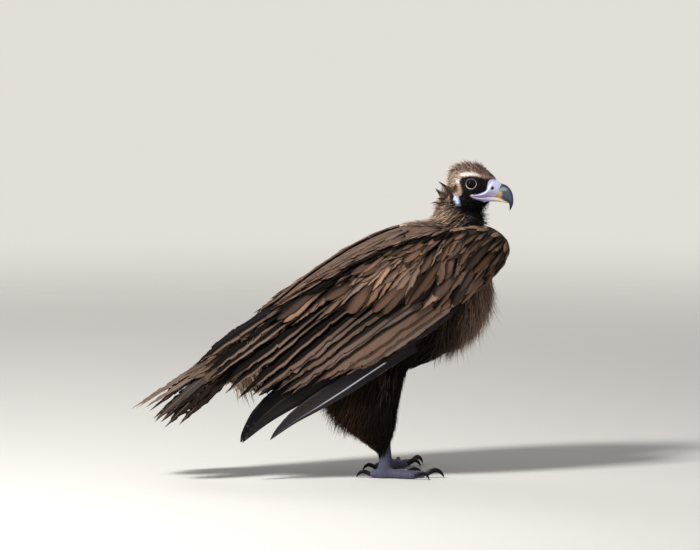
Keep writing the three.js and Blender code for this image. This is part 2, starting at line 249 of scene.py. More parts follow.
# ---------------------------------------------------------------- finishes
class NodeBoard:
    """A small drawing board for shader nodes, in a material or a group."""

    def __init__(self, tree: bpy.types.NodeTree) -> None:
        """Starts on a node tree."""
        self.tree = tree

    @classmethod
    def cleared(cls, owner: bpy.types.Material | bpy.types.World) -> "NodeBoard":
        """Starts on the emptied nodes of a material or a world.

        Args:
            owner: The material or world.

        Returns:
            Its board.
        """
        owner.use_nodes = True
        owner.node_tree.nodes.clear()
        return cls(owner.node_tree)

    def add(
        self, kind: str, inputs: Optional[dict[int | str, object]] = None, **settings: object
    ) -> bpy.types.Node:
        """Adds one node, sets its properties and feeds its inputs.

        Args:
            kind: The node's type name.
            inputs: What its inputs get, by name or number.
            settings: Properties of the node.

        Returns:
            The node.
        """
        node = self.tree.nodes.new(kind)
        for name, value in settings.items():
            setattr(node, name, value)
        for name, value in (inputs or {}).items():
            self.feed(node.inputs[name], value)
        return node

    def feed(self, socket: bpy.types.NodeSocket, value: object) -> None:
        """Sets a socket to a number or colour, or links another socket to it.

        Args:
            socket: The input socket.
            value: A number, a colour or an output socket.
        """
        if isinstance(value, bpy.types.NodeSocket):
            self.tree.links.new(value, socket)
        elif isinstance(value, tuple) and len(value) == 3 and socket.type == "RGBA":
            socket.default_value = (*value, 1.0)
        else:
            socket.default_value = value

    def maths(self, operation: str, *values: object) -> bpy.types.NodeSocket:
        """The output of a Math node with the given inputs."""
        return self.add("ShaderNodeMath", dict(enumerate(values)), operation=operation).outputs[0]

    def scaled(self, value: object, factor: object, plus: object = None) -> bpy.types.NodeSocket:
        """A value times a factor, plus a third value where there is one.

        Args:
            value: The value.
            factor: The factor.
            plus: What is added.

        Returns:
            The result.
        """
        if plus is None:
            return self.maths("MULTIPLY", value, factor)
        return self.maths("MULTIPLY_ADD", value, factor, plus)

    def waves(self, run: object, spacing: object) -> bpy.types.NodeSocket:
        """A sine wave along a run, with the given distance from crest to crest."""
        return self.maths("SINE", self.scaled(self.maths("DIVIDE", run, spacing), FULL_TURN))

    def ramp(self, value: object, low: object, high: object) -> bpy.types.NodeSocket:
        """A smooth step of a value, from 0 at a low limit to 1 at a high one."""
        limits = {"Value": value, "From Min": low, "From Max": high}
        return self.add("ShaderNodeMapRange", limits, interpolation_type="SMOOTHSTEP").outputs["Result"]

    def mix(self, share: object, first: object, second: object, blend: str = "MIX") -> bpy.types.NodeSocket:
        """Mixes two colours, with the given share of the second."""
        inputs = {"Factor": share, 6: first, 7: second}
        return self.add("ShaderNodeMix", inputs, data_type="RGBA", blend_type=blend).outputs[2]

    def shaded(self, colour: object, shade: object) -> bpy.types.NodeSocket:
        """Multiplies a colour by a number."""
        grey = self.add("ShaderNodeCombineColor", {0: shade, 1: shade, 2: shade})
        return self.mix(1.0, colour, grey.outputs[0], "MULTIPLY")

    def noise(
        self, where: object, scale: object, detail: float = 2.0, rough: float = 0.5
    ) -> bpy.types.NodeSocket:
        """A noise texture's value at the given coordinates, from 0 to 1."""
        inputs = {"Vector": where, "Scale": scale, "Detail": detail, "Roughness": rough}
        return self.add("ShaderNodeTexNoise", inputs).outputs["Fac"]

    def stretched(self, where: object, scale: tuple[float, float, float]) -> bpy.types.NodeSocket:
        """Coordinates scaled along each axis."""
        return self.add("ShaderNodeMapping", {"Vector": where, "Scale": scale}).outputs[0]

    def split(self, where: object) -> bpy.types.bpy_prop_collection:
        """The three outputs X, Y and Z of a place."""
        return self.add("ShaderNodeSeparateXYZ", {0: where}).outputs

    def kept(self, name: str, output: str = "Fac") -> bpy.types.NodeSocket:
        """A number, or with "Color" a colour, that the mesh keeps under a name."""
        return self.add("ShaderNodeAttribute", attribute_name=name).outputs[output]

    def map(self, name: str) -> bpy.types.NodeSocket:
        """The coordinates of one of the mesh's own maps."""
        return self.add("ShaderNodeUVMap", uv_map=name).outputs[0]

    def place(self) -> bpy.types.NodeSocket:
        """The place in the object's own metres."""
        return self.add("ShaderNodeTexCoord").outputs["Object"]

    def effect(self, tree: bpy.types.NodeTree, **inputs: object) -> bpy.types.bpy_prop_collection:
        """The outputs of a shared group with the given inputs."""
        return self.add("ShaderNodeGroup", inputs, node_tree=tree).outputs

    def close(self, outputs: dict[str, object]) -> bpy.types.NodeTree:
        """Ends a group with its outputs, which are all numbers.

        Args:
            outputs: Socket name to its value.

        Returns:
            The group.
        """
        for label in outputs:
            self.tree.interface.new_socket(label, in_out="OUTPUT", socket_type="NodeSocketFloat")
        self.add("NodeGroupOutput", outputs)
        return self.tree


def new_group(
    name: str, first: str, **numbers: float
) -> tuple[NodeBoard, bpy.types.bpy_prop_collection]:
    """Starts a shader node group whose first input is a place and whose others are numbers.

    Args:
        name: The group's name.
        first: The first input's name.
        numbers: The other inputs' names and defaults.

    Returns:
        The board, and the inputs' sockets inside the group.
    """
    tree = bpy.data.node_groups.new(name, "ShaderNodeTree")
    tree.interface.new_socket(first, in_out="INPUT", socket_type="NodeSocketVector")
    for label, default in numbers.items():
        socket = tree.interface.new_socket(label, in_out="INPUT", socket_type="NodeSocketFloat")
        socket.default_value = default
    board = NodeBoard(tree)
    return board, board.add("NodeGroupInput").outputs


class SharedEffects:
    """The node groups that several finishes share, each built once."""

    def __init__(self) -> None:
        """Builds the groups."""
        self.barbs = self._barbs()
        self.mottle = self._mottle()
        self.growth = self._growth()

    @staticmethod
    def _barbs() -> bpy.types.NodeTree:
        """A feather's shaft and barbs, from its own map in metres: tone, shaft mask and height.

        Returns:
            The group, with outputs Tone, Shaft and Height.
        """
        board, given = new_group("barbs_and_shaft", "Vane", Spacing=0.0012, Slant=1.3, Shaft=0.0008)
        vane, width = board.split(given["Vane"]), given["Shaft"]
        off = board.maths("ABSOLUTE", vane["X"])
        wander = board.noise(board.stretched(given["Vane"], (60.0, 60.0, 1.0)), 1.0)
        slanted = board.scaled(off, board.scaled(given["Slant"], -1.0), vane["Y"])
        slanted = board.scaled(wander, 0.004, slanted)
        lines = board.waves(slanted, given["Spacing"])
        streaks = {"X": board.scaled(vane["X"], 22.0), "Y": board.scaled(slanted, 260.0)}
        clumps = board.noise(board.add("ShaderNodeCombineXYZ", streaks).outputs[0], 1.0, 3.0, 0.6)
        shaft = board.ramp(off, width, board.scaled(width, 0.4))
        height = board.scaled(lines, 0.3, board.scaled(shaft, 1.6, clumps))
        return board.close({"Tone": board.scaled(lines, 0.06, clumps), "Shaft": shaft, "Height": height})

    @staticmethod
    def _mottle() -> bpy.types.NodeTree:
        """Soft blotches at two sizes over the body.

        Returns:
            The group, with outputs Coarse and Fine.
        """
        board, given = new_group("mottle", "Place", Coarse=14.0, Fine=160.0)
        return board.close(
            {label: board.noise(given["Place"], given[label], 3.0) for label in ("Coarse", "Fine")}
        )

    @staticmethod
    def _growth() -> bpy.types.NodeTree:
        """The growth bands and fine grain of horn, along one axis of the given place.

        Returns:
            The group, with outputs Band and Grain.
        """
        board, given = new_group("growth_bands", "Place", Spacing=0.002)
        grain = board.noise(given["Place"], 420.0, 4.0, 0.6)
        place = board.split(given["Place"])
        run = board.scaled(grain, 0.0016, board.maths("SUBTRACT", place["X"], place["Z"]))
        return board.close({"Band": board.waves(run, given["Spacing"]), "Grain": grain})


@dataclass(frozen=True)
class Finish:
    """What every finish shares: a name, the numbers of its surface and how its material is made."""

    name: str
    roughness: float = 0.6
    bump: float = 0.3

    def made(self, effects: SharedEffects) -> bpy.types.Material:
        """Builds the material.

        Args:
            effects: The shared node groups.

        Returns:
            The material.
        """
        material = bpy.data.materials.new(self.name)
        board = NodeBoard.cleared(material)
        inputs = {"Roughness": self.roughness, **self.drawn(board, effects)}
        shader = board.add("ShaderNodeBsdfPrincipled", inputs)
        board.add("ShaderNodeOutputMaterial", {"Surface": shader.outputs[0]})
        return material

    def drawn(self, board: NodeBoard, effects: SharedEffects) -> dict[str, object]:
        """Draws the finish's own nodes."""
        raise NotImplementedError

    def raised(self, board: NodeBoard, height: object, reach: float) -> bpy.types.NodeSocket:
        """The normal that a height gives, where the height reaches so many metres."""
        inputs = {"Strength": self.bump, "Distance": reach, "Height": height}
        return board.add("ShaderNodeBump", inputs).outputs[0]


@dataclass(frozen=True)
class FeatherFinish(Finish):
    """Vanes with barbs and a shaft, worn to a paler tint along their edges."""

    spacing: float = 0.0012
    contrast: float = 0.85
    worn: Colour = (0.3, 0.2, 0.13)
    shaft: Colour = (0.02, 0.015, 0.012)
    pale_shaft: Colour = (0.62, 0.62, 0.68)
    shaft_width: float = 0.0008
    shaft_share: float = 0.6
    gloss: float = 0.04

    def drawn(self, board: NodeBoard, effects: SharedEffects) -> dict[str, object]:
        """Draws the vane's tone, its worn edge, its barbs and its shaft.

        Args:
            board: The material's board.
            effects: The shared node groups.

        Returns:
            What the shader's inputs get.
        """
        vane = board.map("vane")
        barbs = board.effect(effects.barbs, Vane=vane, Spacing=self.spacing, Shaft=self.shaft_width)
        speckle = board.noise(board.stretched(vane, (170.0, 110.0, 1.0)), 1.0, 3.0, 0.65)
        edge = board.ramp(board.scaled(speckle, 0.8, board.kept("wear")), 0.7, 1.1)
        colour = board.mix(edge, board.kept("tone", "Color"), self.worn)
        shade = board.scaled(board.maths("SUBTRACT", barbs["Tone"], 0.5), self.contrast, 1.0)
        quill = board.kept("quill")
        share = board.scaled(barbs["Shaft"], board.maths("MAXIMUM", quill, self.shaft_share))
        shaft = board.mix(quill, self.shaft, self.pale_shaft)
        return {
            "Base Color": board.mix(share, board.shaded(colour, shade), shaft),
            "Specular IOR Level": self.gloss,
            "Normal": self.raised(board, barbs["Height"], 0.0006),
        }


@dataclass(frozen=True)
class HideFinish(Finish):
    """Bare skin, cere and leg scales, with the same markings as the coat over it."""

    pore: Colour = (0.02, 0.015, 0.02)
    crease: Colour = (0.05, 0.045, 0.055)

    def drawn(self, board: NodeBoard, effects: SharedEffects) -> dict[str, object]:
        """Draws the skin's mottle and folds, its wax and its scutes.

        Args:
            board: The material's board.
            effects: The shared node groups.

        Returns:
            What the shader's inputs get.
        """
        place, scaly, tone = board.place(), board.kept("scaly"), board.kept("tone", "Color")
        fine = board.effect(effects.mottle, Place=place, Fine=420.0)["Fine"]
        cells = {"Vector": board.map("scutes"), "Scale": 1.0, "Randomness": 0.55}
        edge = board.add("ShaderNodeTexVoronoi", cells, feature="DISTANCE_TO_EDGE").outputs["Distance"]
        scute = board.ramp(edge, 0.0, 0.16)
        folded = board.scaled(board.maths("SUBTRACT", 1.0, scute), scaly)
        colour = board.mix(board.ramp(fine, 0.35, 0.75), board.mix(0.18, tone, self.pore), tone)
        folds = board.noise(board.stretched(place, (1.0, 1.0, 1.8)), 300.0, 3.0, 0.6)
        height = board.scaled(board.scaled(scute, scaly), 1.5, board.scaled(folds, 0.5))
        return {
            "Base Color": board.mix(board.scaled(folded, 0.3), colour, self.crease),
            "Specular IOR Level": 0.2,
            "Roughness": board.scaled(board.kept("waxy"), -0.26, board.scaled(fine, 0.16, 0.56)),
            "Normal": self.raised(board, height, 0.0007),
        }


@dataclass(frozen=True)
class HornFinish(Finish):
    """Horn of bill or claw: polished, with growth bands, and tones from the piece's own attribute."""

    coat: float = 0.25
    gloss: float = 0.4
    band: float = 0.12
    spacing: float = 0.003

    def drawn(self, board: NodeBoard, effects: SharedEffects) -> dict[str, object]:
        """Draws the horn's bands, grain and polish.

        Args:
            board: The material's board.
            effects: The shared node groups.

        Returns:
            What the shader's inputs get.
        """
        bands = board.effect(effects.growth, Place=board.place(), Spacing=self.spacing)
        band, grain = bands["Band"], bands["Grain"]
        shade = board.scaled(band, self.band * 0.5, 1.0)
        shade = board.scaled(board.maths("SUBTRACT", grain, 0.5), self.band * 3, shade)
        return {
            "Base Color": board.shaded(board.kept("tone", "Color"), shade),
            "Roughness": board.scaled(grain, 0.2, self.roughness - 0.1),
            "Specular IOR Level": self.gloss,
            "Coat Weight": self.coat,
            "Coat Roughness": 0.18,
            "Normal": self.raised(board, board.scaled(band, 0.4, grain), 0.0003),
        }


@dataclass(frozen=True)
class EyeFinish(Finish):
    """A dark wet eye: black pupil, deep brown iris with fine rays, and a clear wet coat."""

    pupil: Colour = (0.001, 0.001, 0.0015)
    iris: Colour = (0.007, 0.0045, 0.004)
    rim: Colour = (0.003, 0.003, 0.004)

    def drawn(self, board: NodeBoard, effects: SharedEffects) -> dict[str, object]:
        """Draws the pupil, the iris and the rim, from how far out each point of the eye is.

        Args:
            board: The material's board.
            effects: The shared node groups.

        Returns:
            What the shader's inputs get.
        """
        fine = board.effect(effects.mottle, Place=board.place(), Fine=900.0)["Fine"]
        out = board.kept("spread")
        colour = board.mix(board.ramp(out, 0.4, 0.46), self.pupil, board.mix(fine, self.rim, self.iris))
        return {
            "Base Color": board.mix(board.ramp(out, 0.78, 0.9), colour, self.rim),
            "Specular IOR Level": 0.0,
            "Coat Weight": 0.9,
            "Coat Roughness": 0.02,
            "Coat IOR": 1.25,
        }


# ---------------------------------------------------------------- meshes
def read(
    items: bpy.types.bpy_prop_collection, name: str, width: int = 1, kind: type = np.float32
) -> np.ndarray:
    """Reads one property of everything in a collection.

    Args:
        items: The collection.
        name: The property.
        width: How many numbers each item has.
        kind: The numbers' type.

    Returns:
        A number, or a row of them, for each item.
    """
    values = np.empty(len(items) * width, kind)
    items.foreach_get(name, values)
    return values if width == 1 else values.reshape(-1, width)


def move_points(mesh: bpy.types.Mesh, points: np.ndarray) -> None:
    """Moves a mesh's points."""
    mesh.vertices.foreach_set("co", points.astype(np.float32).ravel())
    mesh.update()


def shade_smooth(mesh: bpy.types.Mesh) -> None:
    """Shades every face of a mesh smoothly."""
    mesh.polygons.foreach_set("use_smooth", np.ones(len(mesh.polygons), bool))


def write_mesh(
    name: str, stance: Stance, points: np.ndarray, corners: np.ndarray, counts: np.ndarray
) -> bpy.types.Object:
    """Makes an object from flat arrays of faces.

    Args:
        name: The piece's name.
        stance: Where the bird stands.
        points: Points in bird millimetres.
        corners: The faces' point numbers, one after another.
        counts: How many corners each face has.

    Returns:
        The object, at the origin.
    """
    mesh = bpy.data.meshes.new(name)
    mesh.vertices.add(len(points))
    mesh.vertices.foreach_set("co", stance.to_frame(points).astype(np.float32).ravel())
    mesh.loops.add(len(corners))
    mesh.loops.foreach_set("vertex_index", corners.astype(np.int32))
    mesh.polygons.add(len(counts))
    mesh.polygons.foreach_set("loop_start", starts_of(counts).astype(np.int32))
    shade_smooth(mesh)
    mesh.update(calc_edges=True)
    piece = bpy.data.objects.new(name, mesh)
    bpy.context.collection.objects.link(piece)
    return piece


def starts_of(counts: np.ndarray) -> np.ndarray:
    """Where each face's corners start, in a list of all faces' corners."""
    return np.concatenate([[0], np.cumsum(counts)[:-1]])


def keep_values(mesh: bpy.types.Mesh, name: str, values: np.ndarray) -> None:
    """Stores a number or a colour for each point of a mesh.

    Args:
        mesh: The mesh.
        name: The attribute's name.
        values: One number, or one colour of three, for each point.
    """
    if values.ndim == 1:
        layer = mesh.attributes.new(name, "FLOAT", "POINT")
        layer.data.foreach_set("value", values.astype(np.float32))
        return
    layer = mesh.attributes.new(name, "FLOAT_COLOR", "POINT")
    full = np.concatenate([values, np.ones((len(values), 1))], 1)
    layer.data.foreach_set("color", full.astype(np.float32).ravel())


def keep_map(mesh: bpy.types.Mesh, name: str, corners: np.ndarray) -> None:
    """Stores a UV map, with one pair of values for each face corner."""
    mesh.uv_layers.new(name=name).uv.foreach_set("vector", corners.astype(np.float32).ravel())


def points_of(mesh: bpy.types.Mesh) -> np.ndarray:
    """The mesh's points as an array."""
    return read(mesh.vertices, "co", 3).astype(float)


def normals_of(mesh: bpy.types.Mesh) -> np.ndarray:
    """The mesh's point normals as an array."""
    return read(mesh.vertices, "normal", 3).astype(float)


def laid_over(tone: np.ndarray, colour: Colour, share: np.ndarray) -> np.ndarray:
    """Mixes a colour over the tones that are there, by a share for each."""
    return tone + (np.array(colour) - tone) * share[:, None]


def dress(piece: bpy.types.Object, material: bpy.types.Material, slot: str, *nodes: str) -> None:
    """Gives a piece its finish, attaches it to the root body and hides the CAD nodes that it replaces.

    Args:
        piece: The piece.
        material: Its material.
        slot: Not used.
        nodes: The CAD nodes that it replaces.
    """
    piece.data.materials.clear()
    piece.data.materials.append(material)
    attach(piece, "root")
    if nodes:
        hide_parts(*nodes)


def only(*pieces: bpy.types.Object) -> None:
    """Selects some objects and makes the first of them active.

    Args:
        pieces: The objects; the first becomes the active one.
    """
    bpy.ops.object.select_all(action="DESELECT")
    for piece in pieces:
        piece.select_set(True)
    bpy.context.view_layer.objects.active = pieces[0]


@contextmanager
def editing(piece: bpy.types.Object) -> Iterator[None]:
    """Opens a piece's mesh for editing, with all of it selected, and closes it again.

    Args:
        piece: The object.

    Yields:
        Nothing; the mesh is open for as long as the block runs.
    """
    only(piece)
    bpy.ops.object.mode_set(mode="EDIT")
    bpy.ops.mesh.select_all(action="SELECT")
    yield
    bpy.ops.object.mode_set(mode="OBJECT")


def apply_new(piece: bpy.types.Object, kind: str, **settings: object) -> None:
    """Adds a modifier to a piece and applies it.

    Args:
        piece: The piece.
        kind: The modifier's type name.
        settings: The modifier's properties.
    """
    only(piece)
    modifier = piece.modifiers.new(kind.lower(), kind)
    for name, value in settings.items():
        setattr(modifier, name, value)
    bpy.ops.object.modifier_apply(modifier=modifier.name)


def copied(name: str, nodes: list[str]) -> tuple[bpy.types.Object, np.ndarray]:
    """Joins merged copies of CAD nodes in one new object.

    Args:
        name: The new object's name.
        nodes: The nodes to copy.

    Returns:
        The object, and which of the nodes each of its faces is from.
    """
    copies = []
    for number, node in enumerate(nodes):
        mesh = bpy.data.objects[node].data.copy()
        mesh.materials.clear()
        layer = mesh.attributes.new("source", "INT", "FACE")
        layer.data.foreach_set("value", np.full(len(mesh.polygons), number, np.int32))
        copies.append(bpy.data.objects.new(f"{name}_{number}", mesh))
        bpy.context.collection.objects.link(copies[-1])
    only(*copies)
    if len(copies) > 1:
        bpy.ops.object.join()
    copies[0].name = copies[0].data.name = name
    with editing(copies[0]):
        bpy.ops.mesh.remove_doubles(threshold=0.00002)
        bpy.ops.mesh.normals_make_consistent(inside=False)
    return copies[0], read(copies[0].data.attributes["source"].data, "value", kind=np.int32)


def flattened(lead: np.ndarray, normals: np.ndarray) -> np.ndarray:
    """Directions turned to lie in the surface whose normals are given."""
    return unit(lead - normals * np.sum(lead * normals, 1, keepdims=True))


class Surface:
    """A surface that vanes lie on: gives the nearest place, walks over it and scatters roots."""

    def __init__(self, stance: Stance, piece: bpy.types.Object) -> None:
        """Reads a mesh.

        Args:
            stance: Where the bird stands.
            piece: The mesh object.
        """
        mesh = piece.data
        mesh.calc_loop_triangles()
        self.points = stance.from_mesh(points_of(mesh))
        self.faces = read(mesh.loop_triangles, "vertices", 3, np.int32)
        self.face_of = read(mesh.loop_triangles, "polygon_index", kind=np.int32)
        self.normals = normals_of(mesh)
        self.tree = BVHTree.FromPolygons(self.points.tolist(), self.faces.tolist())
        corners = self.points[self.faces]
        cross = np.cross(corners[:, 1] - corners[:, 0], corners[:, 2] - corners[:, 0])
        self.areas = np.linalg.norm(cross, axis=1) / 2
        self.middles = corners.mean(1)
        self.facing = unit(cross)

    def nearest(self, points: np.ndarray) -> tuple[np.ndarray, np.ndarray, np.ndarray]:
        """The nearest places on the surface.

        Args:
            points: Points in bird millimetres.

        Returns:
            The places, their smoothed normals and their triangles' numbers.
        """
        found = [self.tree.find_nearest(point) for point in points.tolist()]
        places = np.array([hit[0] for hit in found])
        triangles = np.array([hit[2] for hit in found])
        return places, self.normals_at(triangles), triangles

    def normals_at(self, triangles: np.ndarray) -> np.ndarray:
        """The smoothed normals of some triangles."""
        return unit(self.normals[self.faces[triangles]].mean(1))

    def follow(
        self, roots: np.ndarray, headings: np.ndarray, steps: np.ndarray
    ) -> tuple[np.ndarray, np.ndarray]:
        """Walks over the surface from each root.

        Args:
            roots: Where the walks start.
            headings: The way each walk goes.
            steps: The length of each step of each walk.

        Returns:
            The places of each walk, and the normals there.
        """
        place, normal, _ = self.nearest(roots)
        places, normals = [place], [normal]
        way = headings
        for step in steps.T:
            way = flattened(way, normal)
            place, normal, _ = self.nearest(place + way * step[:, None])
            places.append(place)
            normals.append(normal)
        return np.stack(places, 1), np.stack(normals, 1)

    def scatter(
        self, wanted: np.ndarray, spacing: float, rng: np.random.Generator
    ) -> tuple[np.ndarray, np.ndarray]:
        """Scatters roots at least a given distance apart.

        Args:
            wanted: For each triangle, whether roots may lie on it.
            spacing: The least distance.
            rng: The random source.

        Returns:
            The roots and their triangles' numbers.
        """
        numbers = np.flatnonzero(wanted)
        if not len(numbers):
            return np.zeros((0, 3)), numbers
        areas = self.areas[numbers]
        tries = int(areas.sum() / spacing**2 * 3.2) + 1
        picked = rng.choice(numbers, tries, p=areas / areas.sum())
        u, v = rng.random((2, tries, 1))
        flip = u + v > 1
        u, v = np.where(flip, 1 - u, u), np.where(flip, 1 - v, v)
        a, b, c = (self.points[self.faces[picked, k]] for k in range(3))
        spots = a + (b - a) * u + (c - a) * v
        cells = np.floor(spots / spacing).astype(int)
        taken: dict[tuple[int, int, int], list[int]] = {}
        kept = []
        around = [(i, j, k) for i in (-1, 0, 1) for j in (-1, 0, 1) for k in (-1, 0, 1)]
        limit = spacing**2
        flat = spots.tolist()
        for number, (x, y, z) in enumerate(cells.tolist()):
            px, py, pz = flat[number]
            near = (other for i, j, k in around for other in taken.get((x + i, y + j, z + k), ()))
            if any(
                (px - flat[o][0]) ** 2 + (py - flat[o][1]) ** 2 + (pz - flat[o][2]) ** 2 < limit
                for o in near
            ):
                continue
            taken.setdefault((x, y, z), []).append(number)
            kept.append(number)
        return spots[kept], picked[kept]


@dataclass(frozen=True)
class VaneStyle:
    """The shape of one kind of vane.

    Lengths are in millimetres; the other numbers are shares of the half width, or of the length.
    """

    rows: int = 6
    columns: int = 5
    root: float = 0.5
    fullest: float = 0.5
    tip: float = 2.0
    blunt: float = 0.04
    skew: float = 0.0
    ragged: float = 0.14
    split: float = 0.0
    barb: float = 0.0
    calm: int = 0
    jag: float = 0.0
    camber: float = 0.16
    ridge: float = 0.07
    rise: float = 0.06
    base: float = 1.0
    curl: float = 0.0
    crowd: float = 1.2
    # dark_from and dark_to: where the darker root tone gives way to the tip tone, partly the feather's own
    # darker base and partly painted shade under the feather above.
    dark_from: float = 0.1
    dark_to: float = 0.7
    # How strongly, and over which span across the vane, the side that lies under its neighbour is darkened:
    # painted shade standing for the dark gap that each proud edge casts.
    covered_side_shade: float = 0.0
    shade: tuple[float, float] = (-0.2, 1.0)
    fade: float = 0.97

    def shares(self) -> np.ndarray:
        """How far along the vane each row lies."""
        return 1 - (1 - np.linspace(0, 1, self.rows + 1)) ** self.crowd

    def outline(self) -> np.ndarray:
        """The blade's half width at each row.

        Returns:
            The half widths, as shares of the fullest.
        """
        t = self.shares()
        opening = self.root + (1 - self.root) * smooth_between(0, self.fullest, t)
        closing = (1 - np.clip((t - self.fullest) / (1 - self.fullest), 0, 1) ** self.tip) ** (1 / self.tip)
        return np.maximum(opening * closing, self.blunt)


WISP = VaneStyle(
    rows=7, columns=3, root=0.7, fullest=0.3, tip=1.1, ragged=0.3, camber=0.5, dark_to=0.6
)
"""A hair-like vane, which the loose fringes and the down vary."""


def grown(tones: np.ndarray, root: float | np.ndarray, tip: float = 1.0) -> np.ndarray:
    """Each vane's colours at its root and tip, as shares of its own colour; a darker root is partly the
    feather's own darker base and partly painted shade under the feather above.
    """
    return np.stack([tones * root, tones * tip], 1)


class VaneMesh:
    """Gathers vanes of one finish, then makes one piece of them."""

    def __init__(self, name: str, stance: Stance, hide: "Surface", hide_map: np.ndarray, seed: int) -> None:
        """Starts empty.

        Args:
            name: The piece's name.
            stance: Where the bird stands.
            hide: The skin, for the roots' places on its unwrap.
            hide_map: Each skin face's place on the unwrap.
            seed: Seed of the random source.
        """
        self.name = name
        self.stance = stance
        self.hide = hide
        self.hide_map = hide_map
        self.rng = np.random.default_rng(seed)
        self.parts: list[dict[str, np.ndarray]] = []
        self.total = 0

    def add(
        self,
        spine: np.ndarray,
        up: np.ndarray,
        half: np.ndarray,
        style: VaneStyle,
        tones: np.ndarray,
        wear: np.ndarray,
        roll: Optional[np.ndarray] = None,
        patch: tuple[float, float] = PATCH,
        quill: Optional[np.ndarray] = None,
        painted_gap_shade: float | np.ndarray = 1.0,
    ) -> None:
        """Adds vanes.

        Args:
            spine: For each vane, the places of its rows.
            up: For each row, its outward direction.
            half: Half the width of each vane.
            style: Their shape.
            tones: The base colour at each vane's root and tip, (count, 2, 3).
            wear: How worn each vane's edge is.
            roll: Each vane's turn about its shaft, in radians.
            patch: The size of a vane's patch on the unwrap.
            quill: How white each vane's shaft is; 0 where none is given.
            painted_gap_shade: How dark the covered side is, one share for each vane or one for all.
        """
        count = len(spine)
        if not count:
            return
        rng, rows, columns = self.rng, style.rows, style.columns
        t = style.shares()
        ahead = unit(np.gradient(spine, axis=1))
        side = unit(np.cross(up, ahead))
        up = unit(np.cross(ahead, side))
        if roll is not None:
            c, s = np.cos(roll)[:, None, None], np.sin(roll)[:, None, None]
            side, up = side * c + up * s, up * c - side * s
        steps = np.linalg.norm(np.diff(spine, axis=1), axis=2)
        run = np.concatenate([np.zeros((count, 1)), np.cumsum(steps, 1)], 1)
        width = half[:, None] * style.outline()[None]
        uneven = rng.random((2, count, rows + 1))
        for _ in range(style.calm):
            uneven = (np.roll(uneven, 1, 2) + uneven + np.roll(uneven, -1, 2)) / 3
        notch = 1 - style.ragged * uneven * (0.4 + t)
        notch = notch * np.where(rng.random(notch.shape) < style.split, 0.68, 1.0)
        across = np.linspace(-1, 1, columns)
        lean = style.skew * t[:, None]
        reach = width[..., None] * np.where(
            across < 0, notch[0][..., None] * (1 + lean), notch[1][..., None] * (1 - lean)
        )
        off = across * reach
        height = width[..., None] * (
            style.camber * (1 - across**2) + style.ridge * np.maximum(0, 1 - np.abs(across) * 3) ** 2
        )
        height = height + (style.base + style.rise * run + style.curl * run * t**2)[..., None]
        frayed = rng.random((count, rows + 1, columns)) - 0.5
        slip = frayed * style.ragged * half[:, None, None] * 0.9 * np.abs(across)
        slip = slip + style.barb * reach * np.abs(across) * (1 - t**4)[:, None]
        jagged = rng.random((count, 1, columns)) - 0.6
        slip = slip + jagged * (style.jag * half)[:, None, None] * (t**5)[:, None]
        place = spine[:, :, None] + side[:, :, None] * off[..., None] + up[:, :, None] * height[..., None]
        place = place + ahead[:, :, None] * slip[..., None]
        # The tone darkens from tip to root: partly each feather's own darker base, partly painted shade
        # where the feather above lies over it.
        light = smooth_between(style.dark_from, style.dark_to, t)[:, None, None]
        tone = tones[:, 0][:, None, None] * (1 - light) + tones[:, 1][:, None, None] * light
        # Painted shade: the side of each vane that lies under its neighbour is darkened, standing for the
        # dark gap that the neighbour's proud edge casts.
        covered = abs(style.covered_side_shade) * smooth_between(*style.shade, across * np.sign(style.covered_side_shade))[:, None]
        tone = tone * (1 - np.reshape(painted_gap_shade, (-1, 1, 1, 1)) * covered)
        bared = np.where(across * style.covered_side_shade > 0, 0.4, 1.0)
        fringe = np.maximum(np.abs(across) ** 3 * bared, t[:, None] ** 6) * wear[:, None, None]
        fringe = fringe * (0.5 + 0.9 * rng.random((count, rows + 1, 1)))
        shift = rng.random((count, 1, 1, 2)) * (0.0, 40.0)
        vane = np.stack([off, np.broadcast_to(run[..., None], off.shape)], -1) * MM + shift
        _, _, triangles = self.hide.nearest(spine[:, 0])
        centre = self.hide_map[self.hide.face_of[triangles]]
        grid = np.stack(np.broadcast_arrays(across * 0.5, t[:, None] - 0.5), -1)
        bake = np.clip(centre[:, None, None] + grid[None] * patch, 0.001, 0.999)
        white = np.zeros(count) if quill is None else quill
        pale = white[:, None] * smooth_between(style.fade, style.fade - 0.35, t)
        step = (rows + 1) * columns
        faces = self._faces(rows, columns)
        first = self.total + np.arange(count)[:, None] * step
        self.parts.append(
            {
                "points": place.reshape(-1, 3),
                "tone": tone.reshape(-1, 3),
                "wear": fringe.reshape(-1),
                "quill": np.repeat(pale.reshape(-1), columns),
                "vane": vane.reshape(-1, 2),
                "bake": bake.reshape(-1, 2),
                "corners": (first + np.concatenate(faces)[None]).reshape(-1),
                "counts": np.tile([len(face) for face in faces], count),
            }
        )
        self.total += count * step

    @staticmethod
    def _faces(rows: int, columns: int) -> list[np.ndarray]:
        """The faces of one vane: a domed top, a flat underside and two ends.

        Args:
            rows: Steps along it.
            columns: Points across it.

        Returns:
            Each face's point numbers.
        """
        faces = []
        for row in range(rows):
            low, high = row * columns, (row + 1) * columns
            for column in range(columns - 1):
                faces.append([low + column, high + column, high + column + 1, low + column + 1])
            faces.append([low, low + columns - 1, high + columns - 1, high])
        faces.append(list(range(columns)))
        faces.append(list(range((rows + 1) * columns - 1, rows * columns - 1, -1)))
        return [np.array(face) for face in faces]

